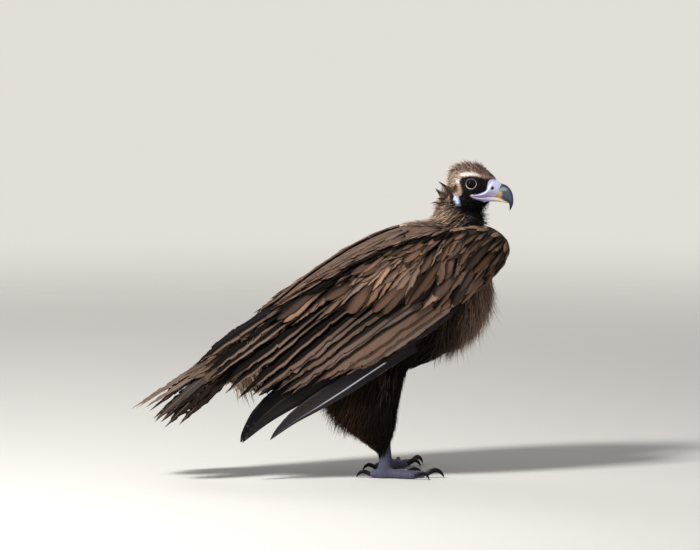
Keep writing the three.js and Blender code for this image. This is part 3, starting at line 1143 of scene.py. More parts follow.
    def made(self, material: bpy.types.Material, slot: str, *nodes: str) -> None:
        """Makes the piece.

        Args:
            material: Its material.
            slot: Not used; it is passed on to dress, which ignores it.
            nodes: The CAD nodes that it replaces.
        """
        whole = {key: np.concatenate([part[key] for part in self.parts]) for key in self.parts[0]}
        piece = write_mesh(self.name, self.stance, whole["points"], whole["corners"], whole["counts"])
        for key in ("tone", "wear", "quill"):
            keep_values(piece.data, key, whole[key])
        for name, key in (("OFBake", "bake"), ("vane", "vane")):
            keep_map(piece.data, name, whole[key][whole["corners"]])
        dress(piece, material, slot, *nodes)
        LOG.info("%s: %d triangles", self.name, int((whole["counts"] - 2).sum()))


# ---------------------------------------------------------------- markings
class Markings:
    """The bird's colours by place, one set for skin and coat alike."""

    FOREHEAD = dye(126, 102, 88)
    CROWN = dye(196, 168, 150)
    NAPE = dye(206, 180, 156)
    BROW = dye(255, 240, 228)
    DIM = dye(196, 170, 150)
    BLACK = dye(14, 11, 11)
    EAR = dye(226, 196, 158)
    WHITE = dye(240, 240, 244)
    BLUISH_SKIN_AND_SHEEN = dye(208, 218, 242)
    EAR_HOLE_PAINTED_SHADE = dye(88, 54, 36)
    CERE = dye(222, 222, 255)
    GAPE = dye(226, 160, 186)
    LID = dye(250, 226, 236)
    # Painted shade for the top of the lid ring.
    LID_SHADE = dye(84, 56, 74)
    NECK = dye(26, 21, 20)
    FOOT = dye(88, 87, 110)
    HIDE = dye(30, 23, 19)

    def __init__(self, stance: Stance) -> None:
        """Keeps where the head is."""
        self.stance = stance

    @staticmethod
    def spot(
        q: np.ndarray, at: tuple[float, float], size: tuple[float, float], soft: float = 0.35
    ) -> np.ndarray:
        """How far inside an oval on the side of the head each point is."""
        reach = np.hypot((q[:, 0] - at[0]) / size[0], (q[:, 2] - at[1]) / size[1])
        return smooth_between(1 + soft, 1 - soft, reach)

    @staticmethod
    def bill_skin(q: np.ndarray) -> np.ndarray:
        """Where the bare cere and the gape's edges are.

        Args:
            q: Points in the head's axes.

        Returns:
            Shares from 0 to 1.
        """
        x, z = q[:, 0], q[:, 2]
        above = np.interp(
            x, [-2, 0, 11, 21, 27, 33, 36, 37.5, 39.5, 43, 50],
            [-26, -23.5, -22.8, -21, -17.5, -15.5, -12, -3, 7, 11, 13]
        )
        below = np.interp(x, [-2, 5, 12, 22, 27, 53], [-26, -31, -35, -38, -40, -41])
        inside = smooth_between(-0.8, 0.8, above - z) * smooth_between(-0.8, 0.8, z - below)
        return inside * (x > -1.5)

    @staticmethod
    def bare_ear(q: np.ndarray) -> np.ndarray:
        """Where the bluish bare skin behind the cheek is.

        Args:
            q: Points in the head's axes.

        Returns:
            Shares from 0 to 1.
        """
        t = np.clip((-20 - q[:, 2]) / 28, 0, 1)
        off = np.abs(q[:, 0] - (-41 + 11 * t))
        wide = 4.5 + 3.5 * np.sin(t * 2.6)
        level = smooth_between(-16, -21, q[:, 2]) * smooth_between(-52, -47, q[:, 2])
        return smooth_between(wide + 1.5, wide - 1.5, off) * level

    def head(self, points: np.ndarray) -> np.ndarray:
        """The head's colours.

        Args:
            points: Points in bird millimetres.

        Returns:
            Their colours.
        """
        q = self.stance.in_head(points)
        x, z = q[:, 0], q[:, 2]
        tone = laid_over(np.array(self.NAPE), self.CROWN, smooth_between(-50, -14, x + 0.5 * (z - 20)))
        patchy = np.sin(x * 0.55 + 1.7 * np.sin(z * 0.47)) * np.sin(z * 0.62 + x * 0.21)

        def lay(colour: Colour, share: np.ndarray) -> None:
            """Mixes a colour over what is there."""
            nonlocal tone
            tone = laid_over(tone, colour, share)

        lay(self.FOREHEAD, smooth_between(-6, 22, x - 0.25 * (z - 30)))
        lay(self.NECK, smooth_between(-24, -36, z) * smooth_between(-52, -40, x))
        lid_line = np.interp(x, [-26, -5, 10, 22, 45, 62], [23.5, 26.5, 25, 21, 17.5, 15])
        thick = np.interp(x, [-26, -16, 2, 14, 24, 60], [3.0, 5.4, 4.4, 3.0, 3.4, 2.6])
        thick *= 1 + 0.22 * patchy
        brow = smooth_between(1.25, 0.6, np.abs(z - lid_line) / thick) * smooth_between(-30, -22, x)
        lay(self.DIM, brow * smooth_between(62, 50, x) * (0.35 + 0.65 * smooth_between(-0.1, 0.45, patchy)))
        lay(self.BROW, brow * smooth_between(26, 10, x))
        lay(self.EAR, self.spot(q, (-37, -7), (13, 16), 0.5) * (0.75 + 0.25 * patchy))
        # Painted shade: the dark centre of the ear patch stands for the shadowed ear opening.
        lay(self.EAR_HOLE_PAINTED_SHADE, self.spot(q, (-36.5, -7), (6.5, 8.5), 0.6))
        lay(self.WHITE, self.spot(q, (-31.5, 9.5), (5.4, 5.8), 0.3))
        black_top = np.interp(x, [-26, -5, 10, 24, 40, 60], [18.0, 21.5, 20, 16, 13, 8])
        lay(self.NECK, self.spot(q, (50, 21), (13, 7), 0.7) * (0.55 + 0.45 * patchy))
        black_rear = np.interp(z, [-30, -14, -2, 8, 20], [-24, -21, -24.5, -27.5, -23])
        black = smooth_between(-3, 3, x - black_rear + 2.2 * patchy)
        black = black * smooth_between(2.2, -2.2, z - black_top - 2 * patchy)
        jaw = smooth_between(-30, -26, x + np.clip(-20 - z, 0, 30) * 0.06) * (z < -24)
        lay(self.BLACK, np.maximum(black, jaw))
        lay(self.BLUISH_SKIN_AND_SHEEN, self.bare_ear(q))
        # Painted sheen: a faint bluish patch on the black neck, for light glancing off its glossy down; the
        # bare ear above keeps the same colour as real bluish skin.
        lay(self.BLUISH_SKIN_AND_SHEEN, self.spot(q, (-5, -76), (9, 5), 0.7) * 0.3)
        bill = self.bill_skin(q)
        lay(self.CERE, bill)
        off_gape = np.abs(z - np.interp(x, [0, 35, 58], [-26.5, -26.4, -28.8]))
        gape = bill * smooth_between(2.2, 0.6, off_gape)
        lay(self.GAPE, gape * (0.9 - 0.3 * smooth_between(10, 40, x)))
        lay(self.WHITE, bill * self.spot(q, (2, -24), (6, 2.2)) * 0.8)
        lay(self.BLACK, smooth_between(-40, -42.5, z) * smooth_between(0, 10, x))
        # Painted shade: the nostril's opening is coloured black, over the hole pressed into the cere.
        lay(self.BLACK, self.spot(q, (49.9, -8.6), (4.2, 3.6), 0.25) * (np.abs(q[:, 1]) > 6))
        around = self.stance.from_eye(q)
        ring = smooth_between(13.0, 12.3, around) * (np.abs(q[:, 1]) > 26)
        lay(self.LID, ring)
        # Painted shade: the upper part of the lid ring is darkened to a dim mauve, where the brow shades
        # it.
        shade = smooth_between(-0.2, 0.45, (z - self.stance.eye_rise - 0.25 * x) / np.maximum(around, 1e-3))
        lay(self.LID_SHADE, ring * shade * 0.92)
        lay(self.BLACK, ring * smooth_between(10.9, 10.3, around))
        return tone


# ---------------------------------------------------------------- skin
@dataclass(frozen=True)
class Foot:
    """One foot: where its ankle stands and how its toes lie."""

    name: str
    side: int
    ankle: tuple[float, float]
    toe_out: float
    hind: float

    def toes(self) -> dict[str, tuple[float, float]]:
        """Each toe's direction in radians and its length.

        Returns:
            For each toe, its direction and its length.
        """
        turns = {"middle": (0, 106), "inner": (20, 64), "outer": (-21, 84), "hind": (self.hind, 38)}
        return {
            name: (math.radians(self.toe_out - turn * self.side), length)
            for name, (turn, length) in turns.items()
        }

    def scutes(self, points: np.ndarray) -> tuple[np.ndarray, np.ndarray]:
        """Lays the leg's scales: broad plates along the toes, small ones on the shank.

        Args:
            points: Points in bird millimetres.

        Returns:
            Each point's place in plates across and along, and how scaly it is.
        """
        off = points[:, :2] - np.array(self.ankle)
        best = np.full(len(points), 1e9)
        run = np.zeros((len(points), 2))
        for angle, length in self.toes().values():
            along = off @ (math.cos(angle), math.sin(angle))
            across = off @ (-math.sin(angle), math.cos(angle))
            miss = np.abs(across) + 3 * np.clip(-along, 0, None) + 3 * np.clip(along - length, 0, None)
            nearer = miss < best
            run[nearer] = np.stack([across / 13 + 0.5, along / 4.6], 1)[nearer]
            best = np.minimum(best, miss)
        turn = np.arctan2(off[:, 1], off[:, 0])
        shank = np.stack([turn * 14 / 5.0, points[:, 2] / 4.6], 1)
        is_shank = points[:, 2] > 24
        run[is_shank] = shank[is_shank]
        reach = np.linalg.norm(off, axis=1)
        return run, (points[:, 2] < 96) * (reach < 125) * 1.0


FEET = (Foot("right", -1, (128, -76), -9, 176), Foot("left", 1, (160, 76), 41, 199))


def profile_shape(
    top: Curve, bottom: Curve, half: Curve, fullness: float, narrow: float = 0.0
) -> Callable[[np.ndarray, np.ndarray], np.ndarray]:
    """A rounded form between an upper and a lower line, with a width along it.

    Args:
        top: The upper line, ahead and up.
        bottom: The lower line.
        half: Half the width along it.
        fullness: 1 for an oval section, less for a boxier one.
        narrow: How much narrower it is at its top.

    Returns:
        A function from turn and share to points.
    """

    def place(turn: np.ndarray, share: np.ndarray) -> np.ndarray:
        """The point at a turn about the form and a share along it.

        Args:
            turn: Turns about the form in radians.
            share: Shares along it.

        Returns:
            The points.
        """
        high, low = top.at(share), bottom.at(share)
        up = np.sign(np.cos(turn)) * np.abs(np.cos(turn)) ** fullness
        out = np.sign(np.sin(turn)) * np.abs(np.sin(turn)) ** fullness
        middle, reach = (high + low) / 2, (high - low) / 2
        wide = half.at(share)[:, 0] * out * (1 - narrow * np.clip(up, 0, 1))
        line = middle + reach * up[:, None]
        return np.stack([line[:, 0], wide, line[:, 1]], 1)

    return place


def lofted(
    name: str, around: int, along: int, place: Callable[[np.ndarray, np.ndarray], np.ndarray]
) -> bpy.types.Object:
    """Shapes a round primitive's rings into a closed form.

    Args:
        name: The piece's name.
        around: Points round each ring.
        along: Rings.
        place: Gives the form's points from a turn and a share.

    Returns:
        The piece, smoothly shaded, in the coordinates that place gives.
    """
    bpy.ops.object.select_all(action="DESELECT")
    bpy.ops.mesh.primitive_uv_sphere_add(segments=around, ring_count=along, radius=1)
    piece = bpy.context.object
    piece.name = piece.data.name = name
    ball = points_of(piece.data)
    share = np.rint(np.arccos(np.clip(ball[:, 2], -1, 1)) / math.pi * along) / along
    turn = np.rint(np.arctan2(ball[:, 1], ball[:, 0]) / math.tau * around) / around * math.tau
    step = 1 / along
    inner = np.clip((share - step * 0.5) / (1 - step), 0, 1)
    shaped = place(turn, inner)
    for is_pole, at in ((share < step * 0.3, 0.0), (share > 1 - step * 0.3, 1.0)):
        ring = place(np.linspace(-math.pi, math.pi, 16, endpoint=False), np.full(16, at))
        shaped[is_pole] = ring.mean(0)
    piece.data.vertices.foreach_set("co", shaped.astype(np.float32).ravel())
    with editing(piece):
        bpy.ops.mesh.normals_make_consistent(inside=False)
    put_in_order(piece)
    shade_smooth(piece.data)
    return piece


def seat(piece: bpy.types.Object, stance: Stance) -> None:
    """Moves a mesh from the head's own millimetres into the frame."""
    move_points(piece.data, stance.to_frame(stance.out_of_head(points_of(piece.data))))
    shade_smooth(piece.data)


def put_in_order(piece: bpy.types.Object) -> None:
    """Orders a mesh's points and faces by place, as some of Blender's tools leave them in any order.

    Args:
        piece: The object; its mesh is built anew.
    """
    old = piece.data
    points = read(old.vertices, "co", 3)
    order = np.lexsort(points.T)
    rank = np.empty(len(order), int)
    rank[order] = np.arange(len(order))
    rings = [rank[list(face.vertices)] for face in old.polygons]
    faces = sorted(np.roll(ring, -int(ring.argmin())).tolist() for ring in rings)
    mesh = bpy.data.meshes.new(old.name)
    mesh.from_pydata(points[order].tolist(), [], faces)
    piece.data = mesh
    bpy.data.meshes.remove(old)


@dataclass
class Skin:
    """One skin over trunk, neck, wing arms, thighs, legs and toes, and over the head with cere and lids."""

    stance: Stance
    markings: Markings
    voxel: float = 5.4
    depths: dict[str, float] = field(
        default_factory=lambda: {
            "trunk": 7, "wing_arm": 5, "thigh": 6, "neck": 5, "ruff": 13, "head": 3, "cere": 2, "tarsus": 0,
            "toe": 0
        }
    )
    nostril: tuple[float, float] = (50.0, -8.6)
    piece: Optional[bpy.types.Object] = None

    @property
    def nodes(self) -> list[str]:
        """The CAD nodes that the skin stands for.

        Returns:
            The nodes' names.
        """
        limbs = ("wing_arm", "thigh", "tarsus", "toe_middle", "toe_inner", "toe_outer", "toe_hind")
        return ["trunk", "neck", "ruff", "head", "cere"] + [
            f"{limb}_{side}" for side in SIDES for limb in limbs
        ]

    def depth_of(self, node: str) -> float:
        """How deep the coat is over a node."""
        return next(depth for start, depth in self.depths.items() if node.startswith(start))

    def wrapped(self) -> bpy.types.Object:
        """Makes one closed hide of the flesh nodes, sunk by the coat's depth.

        Returns:
            The hide.
        """
        piece, source = copied("skin", self.nodes)
        reader = Surface(self.stance, piece)
        apply_new(piece, "DISPLACE", strength=0.0009, mid_level=0.0)
        apply_new(piece, "REMESH", mode="VOXEL", voxel_size=self.voxel * MM)
        put_in_order(piece)
        apply_new(piece, "SMOOTH", factor=0.5, iterations=6)
        points = self.stance.from_mesh(points_of(piece.data))
        _, _, triangles = reader.nearest(points)
        label = source[reader.face_of[triangles]]
        depth = np.array([self.depth_of(node) for node in self.nodes])[label]
        first, second = read(piece.data.edges, "vertices", 2, np.int32).T
        degree = np.bincount(np.concatenate([first, second]), minlength=len(points))
        for _ in range(8):
            total = np.bincount(first, depth[second], len(points))
            total = total + np.bincount(second, depth[first], len(points))
            depth = (depth + total / degree) / 2
        normals = normals_of(piece.data)
        tree = BVHTree.FromPolygons(points.tolist(), [list(face.vertices) for face in piece.data.polygons])
        inward = [tree.ray_cast(p - n * 0.5, -n) for p, n in zip(map(Vector, points), map(Vector, normals))]
        thick = np.array([hit[3] + 0.5 if hit[0] is not None else 100.0 for hit in inward])
        points = points - normals * np.minimum(depth, thick * 0.3)[:, None]
        points[:, 2] = np.maximum(points[:, 2], 0.2)
        move_points(piece.data, self.stance.to_frame(points))
        return piece

    def refine(self, piece: bpy.types.Object, wanted: np.ndarray, cuts: int) -> None:
        """Divides some faces more finely and evens them.

        Args:
            piece: The skin.
            wanted: For each face, whether it is divided.
            cuts: Cuts along each edge.
        """
        only(piece)
        bpy.ops.object.mode_set(mode="EDIT")
        bpy.ops.mesh.select_mode(type="FACE")
        bpy.ops.mesh.select_all(action="DESELECT")
        bpy.ops.object.mode_set(mode="OBJECT")
        piece.data.polygons.foreach_set("select", wanted)
        bpy.ops.object.mode_set(mode="EDIT")
        bpy.ops.mesh.subdivide(number_cuts=cuts)
        bpy.ops.mesh.vertices_smooth(factor=0.5, repeat=2 * cuts)
        bpy.ops.object.mode_set(mode="OBJECT")

    def face_middles(self, piece: bpy.types.Object) -> np.ndarray:
        """The middles of a piece's faces, in bird millimetres."""
        return self.stance.from_mesh(read(piece.data.polygons, "center", 3).astype(float))

    def sculpt_head(self, piece: bpy.types.Object) -> None:
        """Sinks the eye sockets, raises the brows and presses the folds into the head's skin.

        Args:
            piece: The skin.
        """
        points = self.stance.from_mesh(points_of(piece.data))
        q = self.stance.in_head(points)
        normals = normals_of(piece.data)
        near = (np.abs(q) < (75, 60, 75)).all(1)
        side = np.sign(q[:, 1])
        around = self.stance.from_eye(q)
        on_side = near & (np.abs(q[:, 1]) > 14)
        share = smooth_between(23, 14.5, around) * on_side
        lid_plane = np.where(around < 11.5, 26.0, 31.2)
        q[:, 1] += (side * lid_plane - q[:, 1]) * share
        off_brow = np.abs(q[:, 2] - np.interp(q[:, 0], [-22, 0, 30], [20, 22.5, 18]))
        brow = smooth_between(7, 2, off_brow) * smooth_between(-26, -14, q[:, 0])
        brow = brow * smooth_between(34, 20, q[:, 0])
        q[:, 1] += side * brow * on_side * 2.2 * smooth_between(13.5, 16, around)
        moved = self.stance.out_of_head(q)
        cheek = near * smooth_between(-14, -22, q[:, 2]) * smooth_between(10, -10, q[:, 0]) * (around > 16)
        moved += normals * (np.sin(q[:, 2] * 0.9 + q[:, 0] * 0.35) * 0.45 * cheek)[:, None]
        move_points(piece.data, self.stance.to_frame(moved))

    def cere(self) -> bpy.types.Object:
        """The waxy skin of the bill, from the gape's corner to the horn, with its nostrils.

        Returns:
            The piece, seated on the head.
        """
        top = Curve(
            (-3, -24.6), (6, -22.6), (16, -21.6), (24, -19), (31, -14), (36, -6), (40, 4), (46, 10.2),
            (52, 11.2), (58, 8.9), (65, 5.4), (71, 1.4)
        )
        bottom = Curve(
            (-3, -26.6), (6, -27.2), (16, -27.4), (24, -27.4), (31, -27.3), (37, -27.4), (42, -27.6),
            (46, -27.7), (49.5, -27.8), (52, -28), (54.5, -28.4), (56.5, -29)
        )
        half = Curve(
            (28.5,), (29.6,), (28.2,), (26.2,), (24,), (21.8,), (20.2,), (19,), (17.6,), (16.2,), (14.8,),
            (13.4,)
        )
        piece = lofted("cere_skin", 72, 84, profile_shape(top, bottom, half, 0.8, 0.28))
        q = points_of(piece.data)
        normals = normals_of(piece.data)
        x, z = q[:, 0], q[:, 2]
        hole = Markings.spot(q, self.nostril, (4.0, 3.4), 0.4) * (np.abs(q[:, 1]) > 5)
        rim = Markings.spot(q, self.nostril, (6.6, 5.8), 0.3) * (np.abs(q[:, 1]) > 5)
        flange = smooth_between(2.6, 0, z + 27.5) * smooth_between(60, 20, x)
        swell = np.exp(-(((x - 44) / 9) ** 2) - (((z - 2) / 9) ** 2))
        q += normals * (rim * 0.7 - hole * 4.0 + flange * 0.9 + swell * 1.0)[:, None]
        move_points(piece.data, q)
        seat(piece, self.stance)
        return piece

    def lid(self, side: int) -> bpy.types.Object:
        """The ring of lid about one eye, fuller above.

        Args:
            side: -1 right, 1 left.

        Returns:
            The ring.
        """
        bpy.ops.object.select_all(action="DESELECT")
        bpy.ops.mesh.primitive_torus_add(
            major_radius=11.9, minor_radius=0.95, major_segments=72, minor_segments=14,
            rotation=(math.pi / 2, 0, 0)
        )
        piece = bpy.context.object
        bpy.ops.object.transform_apply()
        piece.name = f"lid_{side}"
        q = points_of(piece.data)
        turn = np.arctan2(q[:, 2], q[:, 0])
        upper = np.clip(np.sin(turn), 0, 1)
        q[:, 1] *= 1 + 0.7 * upper
        q *= (1 + 0.012 * np.sin(turn * 23) * (1 - 0.5 * upper))[:, None]
        q[:, 2] -= 0.9 * upper**2
        q[:, 0] += 1.1 * np.clip(np.cos(turn), 0, 1) ** 6
        q = q + (0, side * 31.7, self.stance.eye_rise)
        move_points(piece.data, q)
        seat(piece, self.stance)
        return piece

    def build(self, material: bpy.types.Material) -> None:
        """Makes the whole skin.

        Args:
            material: Its material.
        """
        piece = self.wrapped()
        only(piece)
        q = self.stance.in_head(self.face_middles(piece))
        self.refine(piece, (np.abs(q) < (62, 50, 62)).all(1) & (q[:, 2] > -40), 2)
        self.refine(piece, self.face_middles(piece)[:, 2] < 94, 1)
        self.sculpt_head(piece)
        extras = [self.cere(), self.lid(-1), self.lid(1)]
        only(piece, *extras)
        bpy.ops.object.join()
        with editing(piece):
            bpy.ops.uv.smart_project(angle_limit=math.radians(70), island_margin=0.002)
        mesh = piece.data
        mesh.uv_layers.active.name = "unwrap"
        shade_smooth(mesh)
        points = self.stance.from_mesh(points_of(mesh))
        q = self.stance.in_head(points)
        in_head = (points[:, 2] > HEAD_FOOT) & (np.abs(q[:, 0]) < 110)
        tone = np.tile(self.markings.HIDE, (len(points), 1))
        tone[in_head] = self.markings.head(points[in_head])
        run, scaly = np.zeros((len(points), 2)), np.zeros(len(points))
        for foot in FEET:
            mine = np.sign(points[:, 1]) == foot.side
            places, amount = foot.scutes(points[mine])
            run[mine], scaly[mine] = places, amount
        tone = laid_over(tone, self.markings.FOOT, scaly * smooth_between(76, 70, points[:, 2]))
        keep_values(mesh, "tone", tone)
        keep_values(mesh, "scaly", scaly)
        keep_values(mesh, "waxy", self.markings.bill_skin(q) * in_head)
        keep_map(mesh, "scutes", run[read(mesh.loops, "vertex_index", kind=np.int32)])
        dress(piece, material, "body_plumage", *self.nodes)
        self.piece = piece
        LOG.info("skin: %d faces", len(mesh.polygons))

    def map_of_faces(self) -> np.ndarray:
        """Each skin face's place on the unwrap.

        Returns:
            The middle of each face on the unwrap.
        """
        mesh = self.piece.data
        corners = read(mesh.uv_layers["unwrap"].uv, "vector", 2)
        counts = read(mesh.polygons, "loop_total", kind=np.int32)
        return np.add.reduceat(corners, starts_of(counts), axis=0) / counts[:, None]


# ---------------------------------------------------------------- horn and eyes
@dataclass
class Bill:
    """The hooked upper horn and the lower mandible, which meet the cere."""

    stance: Stance
    blue: Colour = dye(64, 79, 99)
    dark: Colour = dye(22, 26, 34)
    painted_highlight: Colour = dye(196, 204, 214)
    tan: Colour = dye(226, 184, 138)
    lilac: Colour = dye(206, 200, 240)
    cream: Colour = dye(240, 218, 170)

    def upper(self, material: bpy.types.Material) -> None:
        """The hooked horn of the upper mandible, blue-grey with a dark keel and hook, and a painted
        highlight on its side.

        Args:
            material: Its material.
        """
        top = Curve(
            (66, 3), (71, 1.2), (77, -0.4), (84.4, -4.4), (91.4, -12.2), (96, -22), (98, -33), (97.8, -45),
            (94.6, -54), (90.2, -62.6)
        )
        bottom = Curve(
            (51, -28), (58, -29.5), (65, -31.4), (71, -34.4), (77, -38.4), (83.6, -41.4), (87.6, -45.4),
            (88.8, -51), (89, -57), (89.4, -62.8)
        )
        half = Curve((13.4,), (13.4,), (12.8,), (11.8,), (10.4,), (8.6,), (6.8,), (5.0,), (3.3,), (0.8,))
        piece = lofted("bill_upper_horn", 56, 64, profile_shape(top, bottom, half, 0.82, 0.3))
        q = points_of(piece.data)
        x, z = q[:, 0], q[:, 2]
        patch = Markings.spot(q, (61.5, -22.5), (10.5, 11), 0.4)
        ridge = smooth_between(0.0, 1.0, (x - 60) / 30)
        keel = 0.9 * ridge * smooth_between(9, 3, np.abs(q[:, 1]))
        above = np.interp(x, [66, 77, 84, 91, 96, 98], [3, -0.4, -4.4, -12.2, -22, -33]) - z
        below = z - np.interp(x, [51, 65, 77, 87], [-28, -31.4, -38.4, -45])
        # Painted highlight: a pale blue-white patch on the horn's upper side where a reflection of the
        # light would fall.
        light = Markings.spot(q + q[:, 2:] * 0.4, (71, -15), (8, 4.6), 0.95)
        layers = (
            (self.dark, keel),
            (self.dark, smooth_between(-40, -54, z) * 0.85),
            (self.painted_highlight, light * 0.55),
            (self.dark, smooth_between(5.5, 1.0, above) * (z > -34) * 0.9),
            (self.tan, patch * 0.9),
            (self.tan, smooth_between(3.0, 0.5, below) * (x < 84) * 0.45),
        )
        self._finish(piece, self.blue, layers, material, "upper")

    def lower(self, material: bpy.types.Material) -> None:
        """The lower mandible, lilac at the gape and cream at its edge.

        Args:
            material: Its material.
        """
        top = Curve(
            (-2, -27), (8, -27.4), (20, -27.6), (36, -27.4), (50, -28.6), (62, -31.2), (72, -35.8),
            (80, -40), (86, -43.2)
        )
        bottom = Curve(
            (-1, -28.6), (8, -33.2), (18, -37.2), (28, -40), (42, -40.8), (56, -40.8), (68, -41.6),
            (78, -43), (86.4, -44.8)
        )
        half = Curve((28.2,), (27.6,), (24.8,), (20.4,), (16,), (12.6,), (10,), (7.2,), (2.2,))
        piece = lofted("bill_lower_mandible", 48, 60, profile_shape(top, bottom, half, 0.75))
        q = points_of(piece.data)
        x, z = q[:, 0], q[:, 2]
        off_gape = np.abs(z - np.interp(x, [0, 40, 60], [-27.2, -28, -30]))
        layers = (
            (self.cream, smooth_between(50, 62, x + (z + 36) * 1.2)),
            (Markings.GAPE, smooth_between(2.4, 0.6, off_gape) * smooth_between(66, 40, x) * 0.8),
            (Markings.WHITE, Markings.spot(q, (45, -36), (12, 2.6), 0.6) * 0.4),
        )
        self._finish(piece, self.lilac, layers, material, "lower")

    def _finish(
        self, piece: bpy.types.Object, tone: Colour, layers: tuple[tuple[Colour, np.ndarray], ...],
        material: bpy.types.Material, which: str
    ) -> None:
        """Colours a horn piece, seats it on the head and puts it in its node's place.

        Args:
            piece: The piece.
            tone: Its ground colour.
            layers: The colours over it, each with its share at each point.
            material: Its material.
            which: Upper or lower.
        """
        for colour, share in layers:
            tone = laid_over(np.array(tone), colour, share)
        keep_values(piece.data, "tone", tone)
        seat(piece, self.stance)
        dress(piece, material, f"{which}_horn", f"beak_{which}")


@dataclass
class Eyes:
    """The two dark eyes, each with its clear bulge in front."""

    stance: Stance
    radius: float = 13.5
    out: float = 24.5
    visible: float = 10.6

    def build(self, material: bpy.types.Material) -> None:
        """Makes both eyes.

        Args:
            material: Their material.
        """
        for name, side in SIDES.items():
            bpy.ops.object.select_all(action="DESELECT")
            bpy.ops.mesh.primitive_uv_sphere_add(
                segments=64, ring_count=48, radius=self.radius, rotation=(math.pi / 2, 0, 0)
            )
            piece = bpy.context.object
            bpy.ops.object.transform_apply()
            piece.name = f"eyeball_{name}"
            put_in_order(piece)
            q = points_of(piece.data)
            around = np.hypot(q[:, 0], q[:, 2])
            ahead = q[:, 1] * side > 0
            q[:, 1] += side * ahead * 1.1 * smooth_between(8.2, 3.0, around)
            keep_values(piece.data, "spread", np.where(ahead, around / self.visible, 2.0))
            q = q + (0, side * self.out, self.stance.eye_rise)
            move_points(piece.data, q)
            seat(piece, self.stance)
            dress(piece, material, "eyeball", f"eye_{name}")


@dataclass
class Claws:
    """The eight black claws, each a stout hook that leaves its toe's end."""

    stance: Stance
    dark: Colour = dye(10, 9, 11)
    pale: Colour = dye(48, 44, 50)
    reach: tuple[tuple[str, float], ...] = (("middle", 44), ("inner", 42), ("outer", 36), ("hind", 36))

    def build(self, material: bpy.types.Material) -> None:
        """Makes each claw.

        Args:
            material: Their material.
        """
        bow = Curve(
            (-0.22, 0.16, 5.4), (0.02, 0.32, 6.2), (0.25, 0.40, 5.9), (0.46, 0.37, 4.9), (0.62, 0.26, 3.6),
            (0.72, 0.12, 2.0), (0.75, 0.02, 0.4)
        )
        for foot in FEET:
            for digit, size in self.reach:
                angle, length = foot.toes()[digit]
                ahead = np.array([math.cos(angle), math.sin(angle), 0.0])
                aside = np.array([-ahead[1], ahead[0], 0.0])

                def place(turn: np.ndarray, share: np.ndarray) -> np.ndarray:
                    """A point of the hook at a turn about it and a share along it.

                    Args:
                        turn: Turns about the form in radians.
                        share: Shares along it.

                    Returns:
                        The points.
                    """
                    line, near = bow.at(share), bow.at(share + 0.01) - bow.at(share - 0.01)
                    way = unit(near[:, :2])
                    thick = line[:, 2] * size / 44
                    over = thick * np.cos(turn)
                    run = line[:, 0] * size + length - way[:, 1] * over
                    rise = line[:, 1] * size + way[:, 0] * over
                    home = np.array([*foot.ankle, 0.0]) + ahead * run[:, None]
                    out = aside * (thick * 0.74 * np.sin(turn))[:, None]
                    return home + out + np.array([0, 0, 1]) * rise[:, None]

                piece = lofted(f"talon_{digit}_{foot.name}", 18, 26, place)
                points = points_of(piece.data)
                reach = (points[:, :2] - np.array(foot.ankle)) @ ahead[:2]
                base = smooth_between(length + 9, length - 3, reach)
                points[:, 2] = np.maximum(points[:, 2], 0.3)
                move_points(piece.data, self.stance.to_frame(points))
                keep_values(piece.data, "tone", laid_over(np.array(self.dark), self.pale, base * 0.6))
                dress(piece, material, "claw_horn", f"claw_{digit}_{foot.name}")


# ---------------------------------------------------------------- feathers
@dataclass
class Plumage:
    """What every tract of the coat needs: the surfaces it lies on, the markings and the finishes."""

    stance: Stance
    markings: Markings
    hide: Surface
    hide_map: np.ndarray
    base: Surface
    label: np.ndarray
    names: list[str]
    solids: Surface
    finishes: dict[str, bpy.types.Material]

    def mesh(self, name: str, seed: int) -> VaneMesh:
        """Starts a coat piece."""
        return VaneMesh(name, self.stance, self.hide, self.hide_map, seed)

    def on(self, *starts: str) -> np.ndarray:
        """Which triangles of the base lie on nodes whose names start so."""
        chosen = [number for number, name in enumerate(self.names) if name.startswith(starts)]
        return np.isin(self.label, chosen)

    def shown(self, places: np.ndarray, normals: np.ndarray, clear: float) -> np.ndarray:
        """Which places can be seen from outside, because a sight line leaves them.

        Args:
            places: Places on the body.
            normals: Outward directions there.
            clear: How far a sight line must run.

        Returns:
            One flag for each place.
        """
        first = unit(np.cross(normals, (0.31, 0.82, 0.48)))
        second = np.cross(normals, first)
        flags = np.zeros(len(places), bool)
        for way in (normals, normals + first, normals - first, normals + second, normals - second):
            ways = unit(way)
            starts = places + normals * 14 + ways * 2
            flags |= np.array([
                self.solids.tree.ray_cast(Vector(start), Vector(way), clear)[0] is None
                for start, way in zip(starts, ways)
            ])
        return flags

    def roots(
        self, wanted: np.ndarray, spacing: float, rng: np.random.Generator, clear: float
    ) -> tuple[np.ndarray, np.ndarray]:
        """Scatters roots over the base where they can be seen.

        Args:
            wanted: For each triangle of the base, whether it is in the tract.
            spacing: The least distance between roots.
            rng: The random source.
            clear: How far a sight line must run.

        Returns:
            The roots and the normals there.
        """
        roots, triangles = self.base.scatter(wanted, spacing, rng)
        normals = self.base.normals_at(triangles)
        keep = self.shown(roots, normals, clear)
        return roots[keep], normals[keep]

    def fly(
        self, roots: np.ndarray, headings: np.ndarray, lengths: np.ndarray, style: VaneStyle,
        surface: Optional[Surface] = None
    ) -> tuple[np.ndarray, np.ndarray]:
        """Lays spines over a surface.

        Args:
            roots: Where they start.
            headings: Which way they go.
            lengths: How long they are.
            style: The vane's style.
            surface: The surface; the base where none is given.

        Returns:
            The spines and their outward directions.
        """
        steps = lengths[:, None] * np.diff(style.shares())[None]
        spine, up = (surface or self.base).follow(roots, headings, steps)
        smooth = up.copy()
        smooth[:, 1:-1] = unit(up[:, :-2] + up[:, 1:-1] * 2 + up[:, 2:])
        return spine, smooth


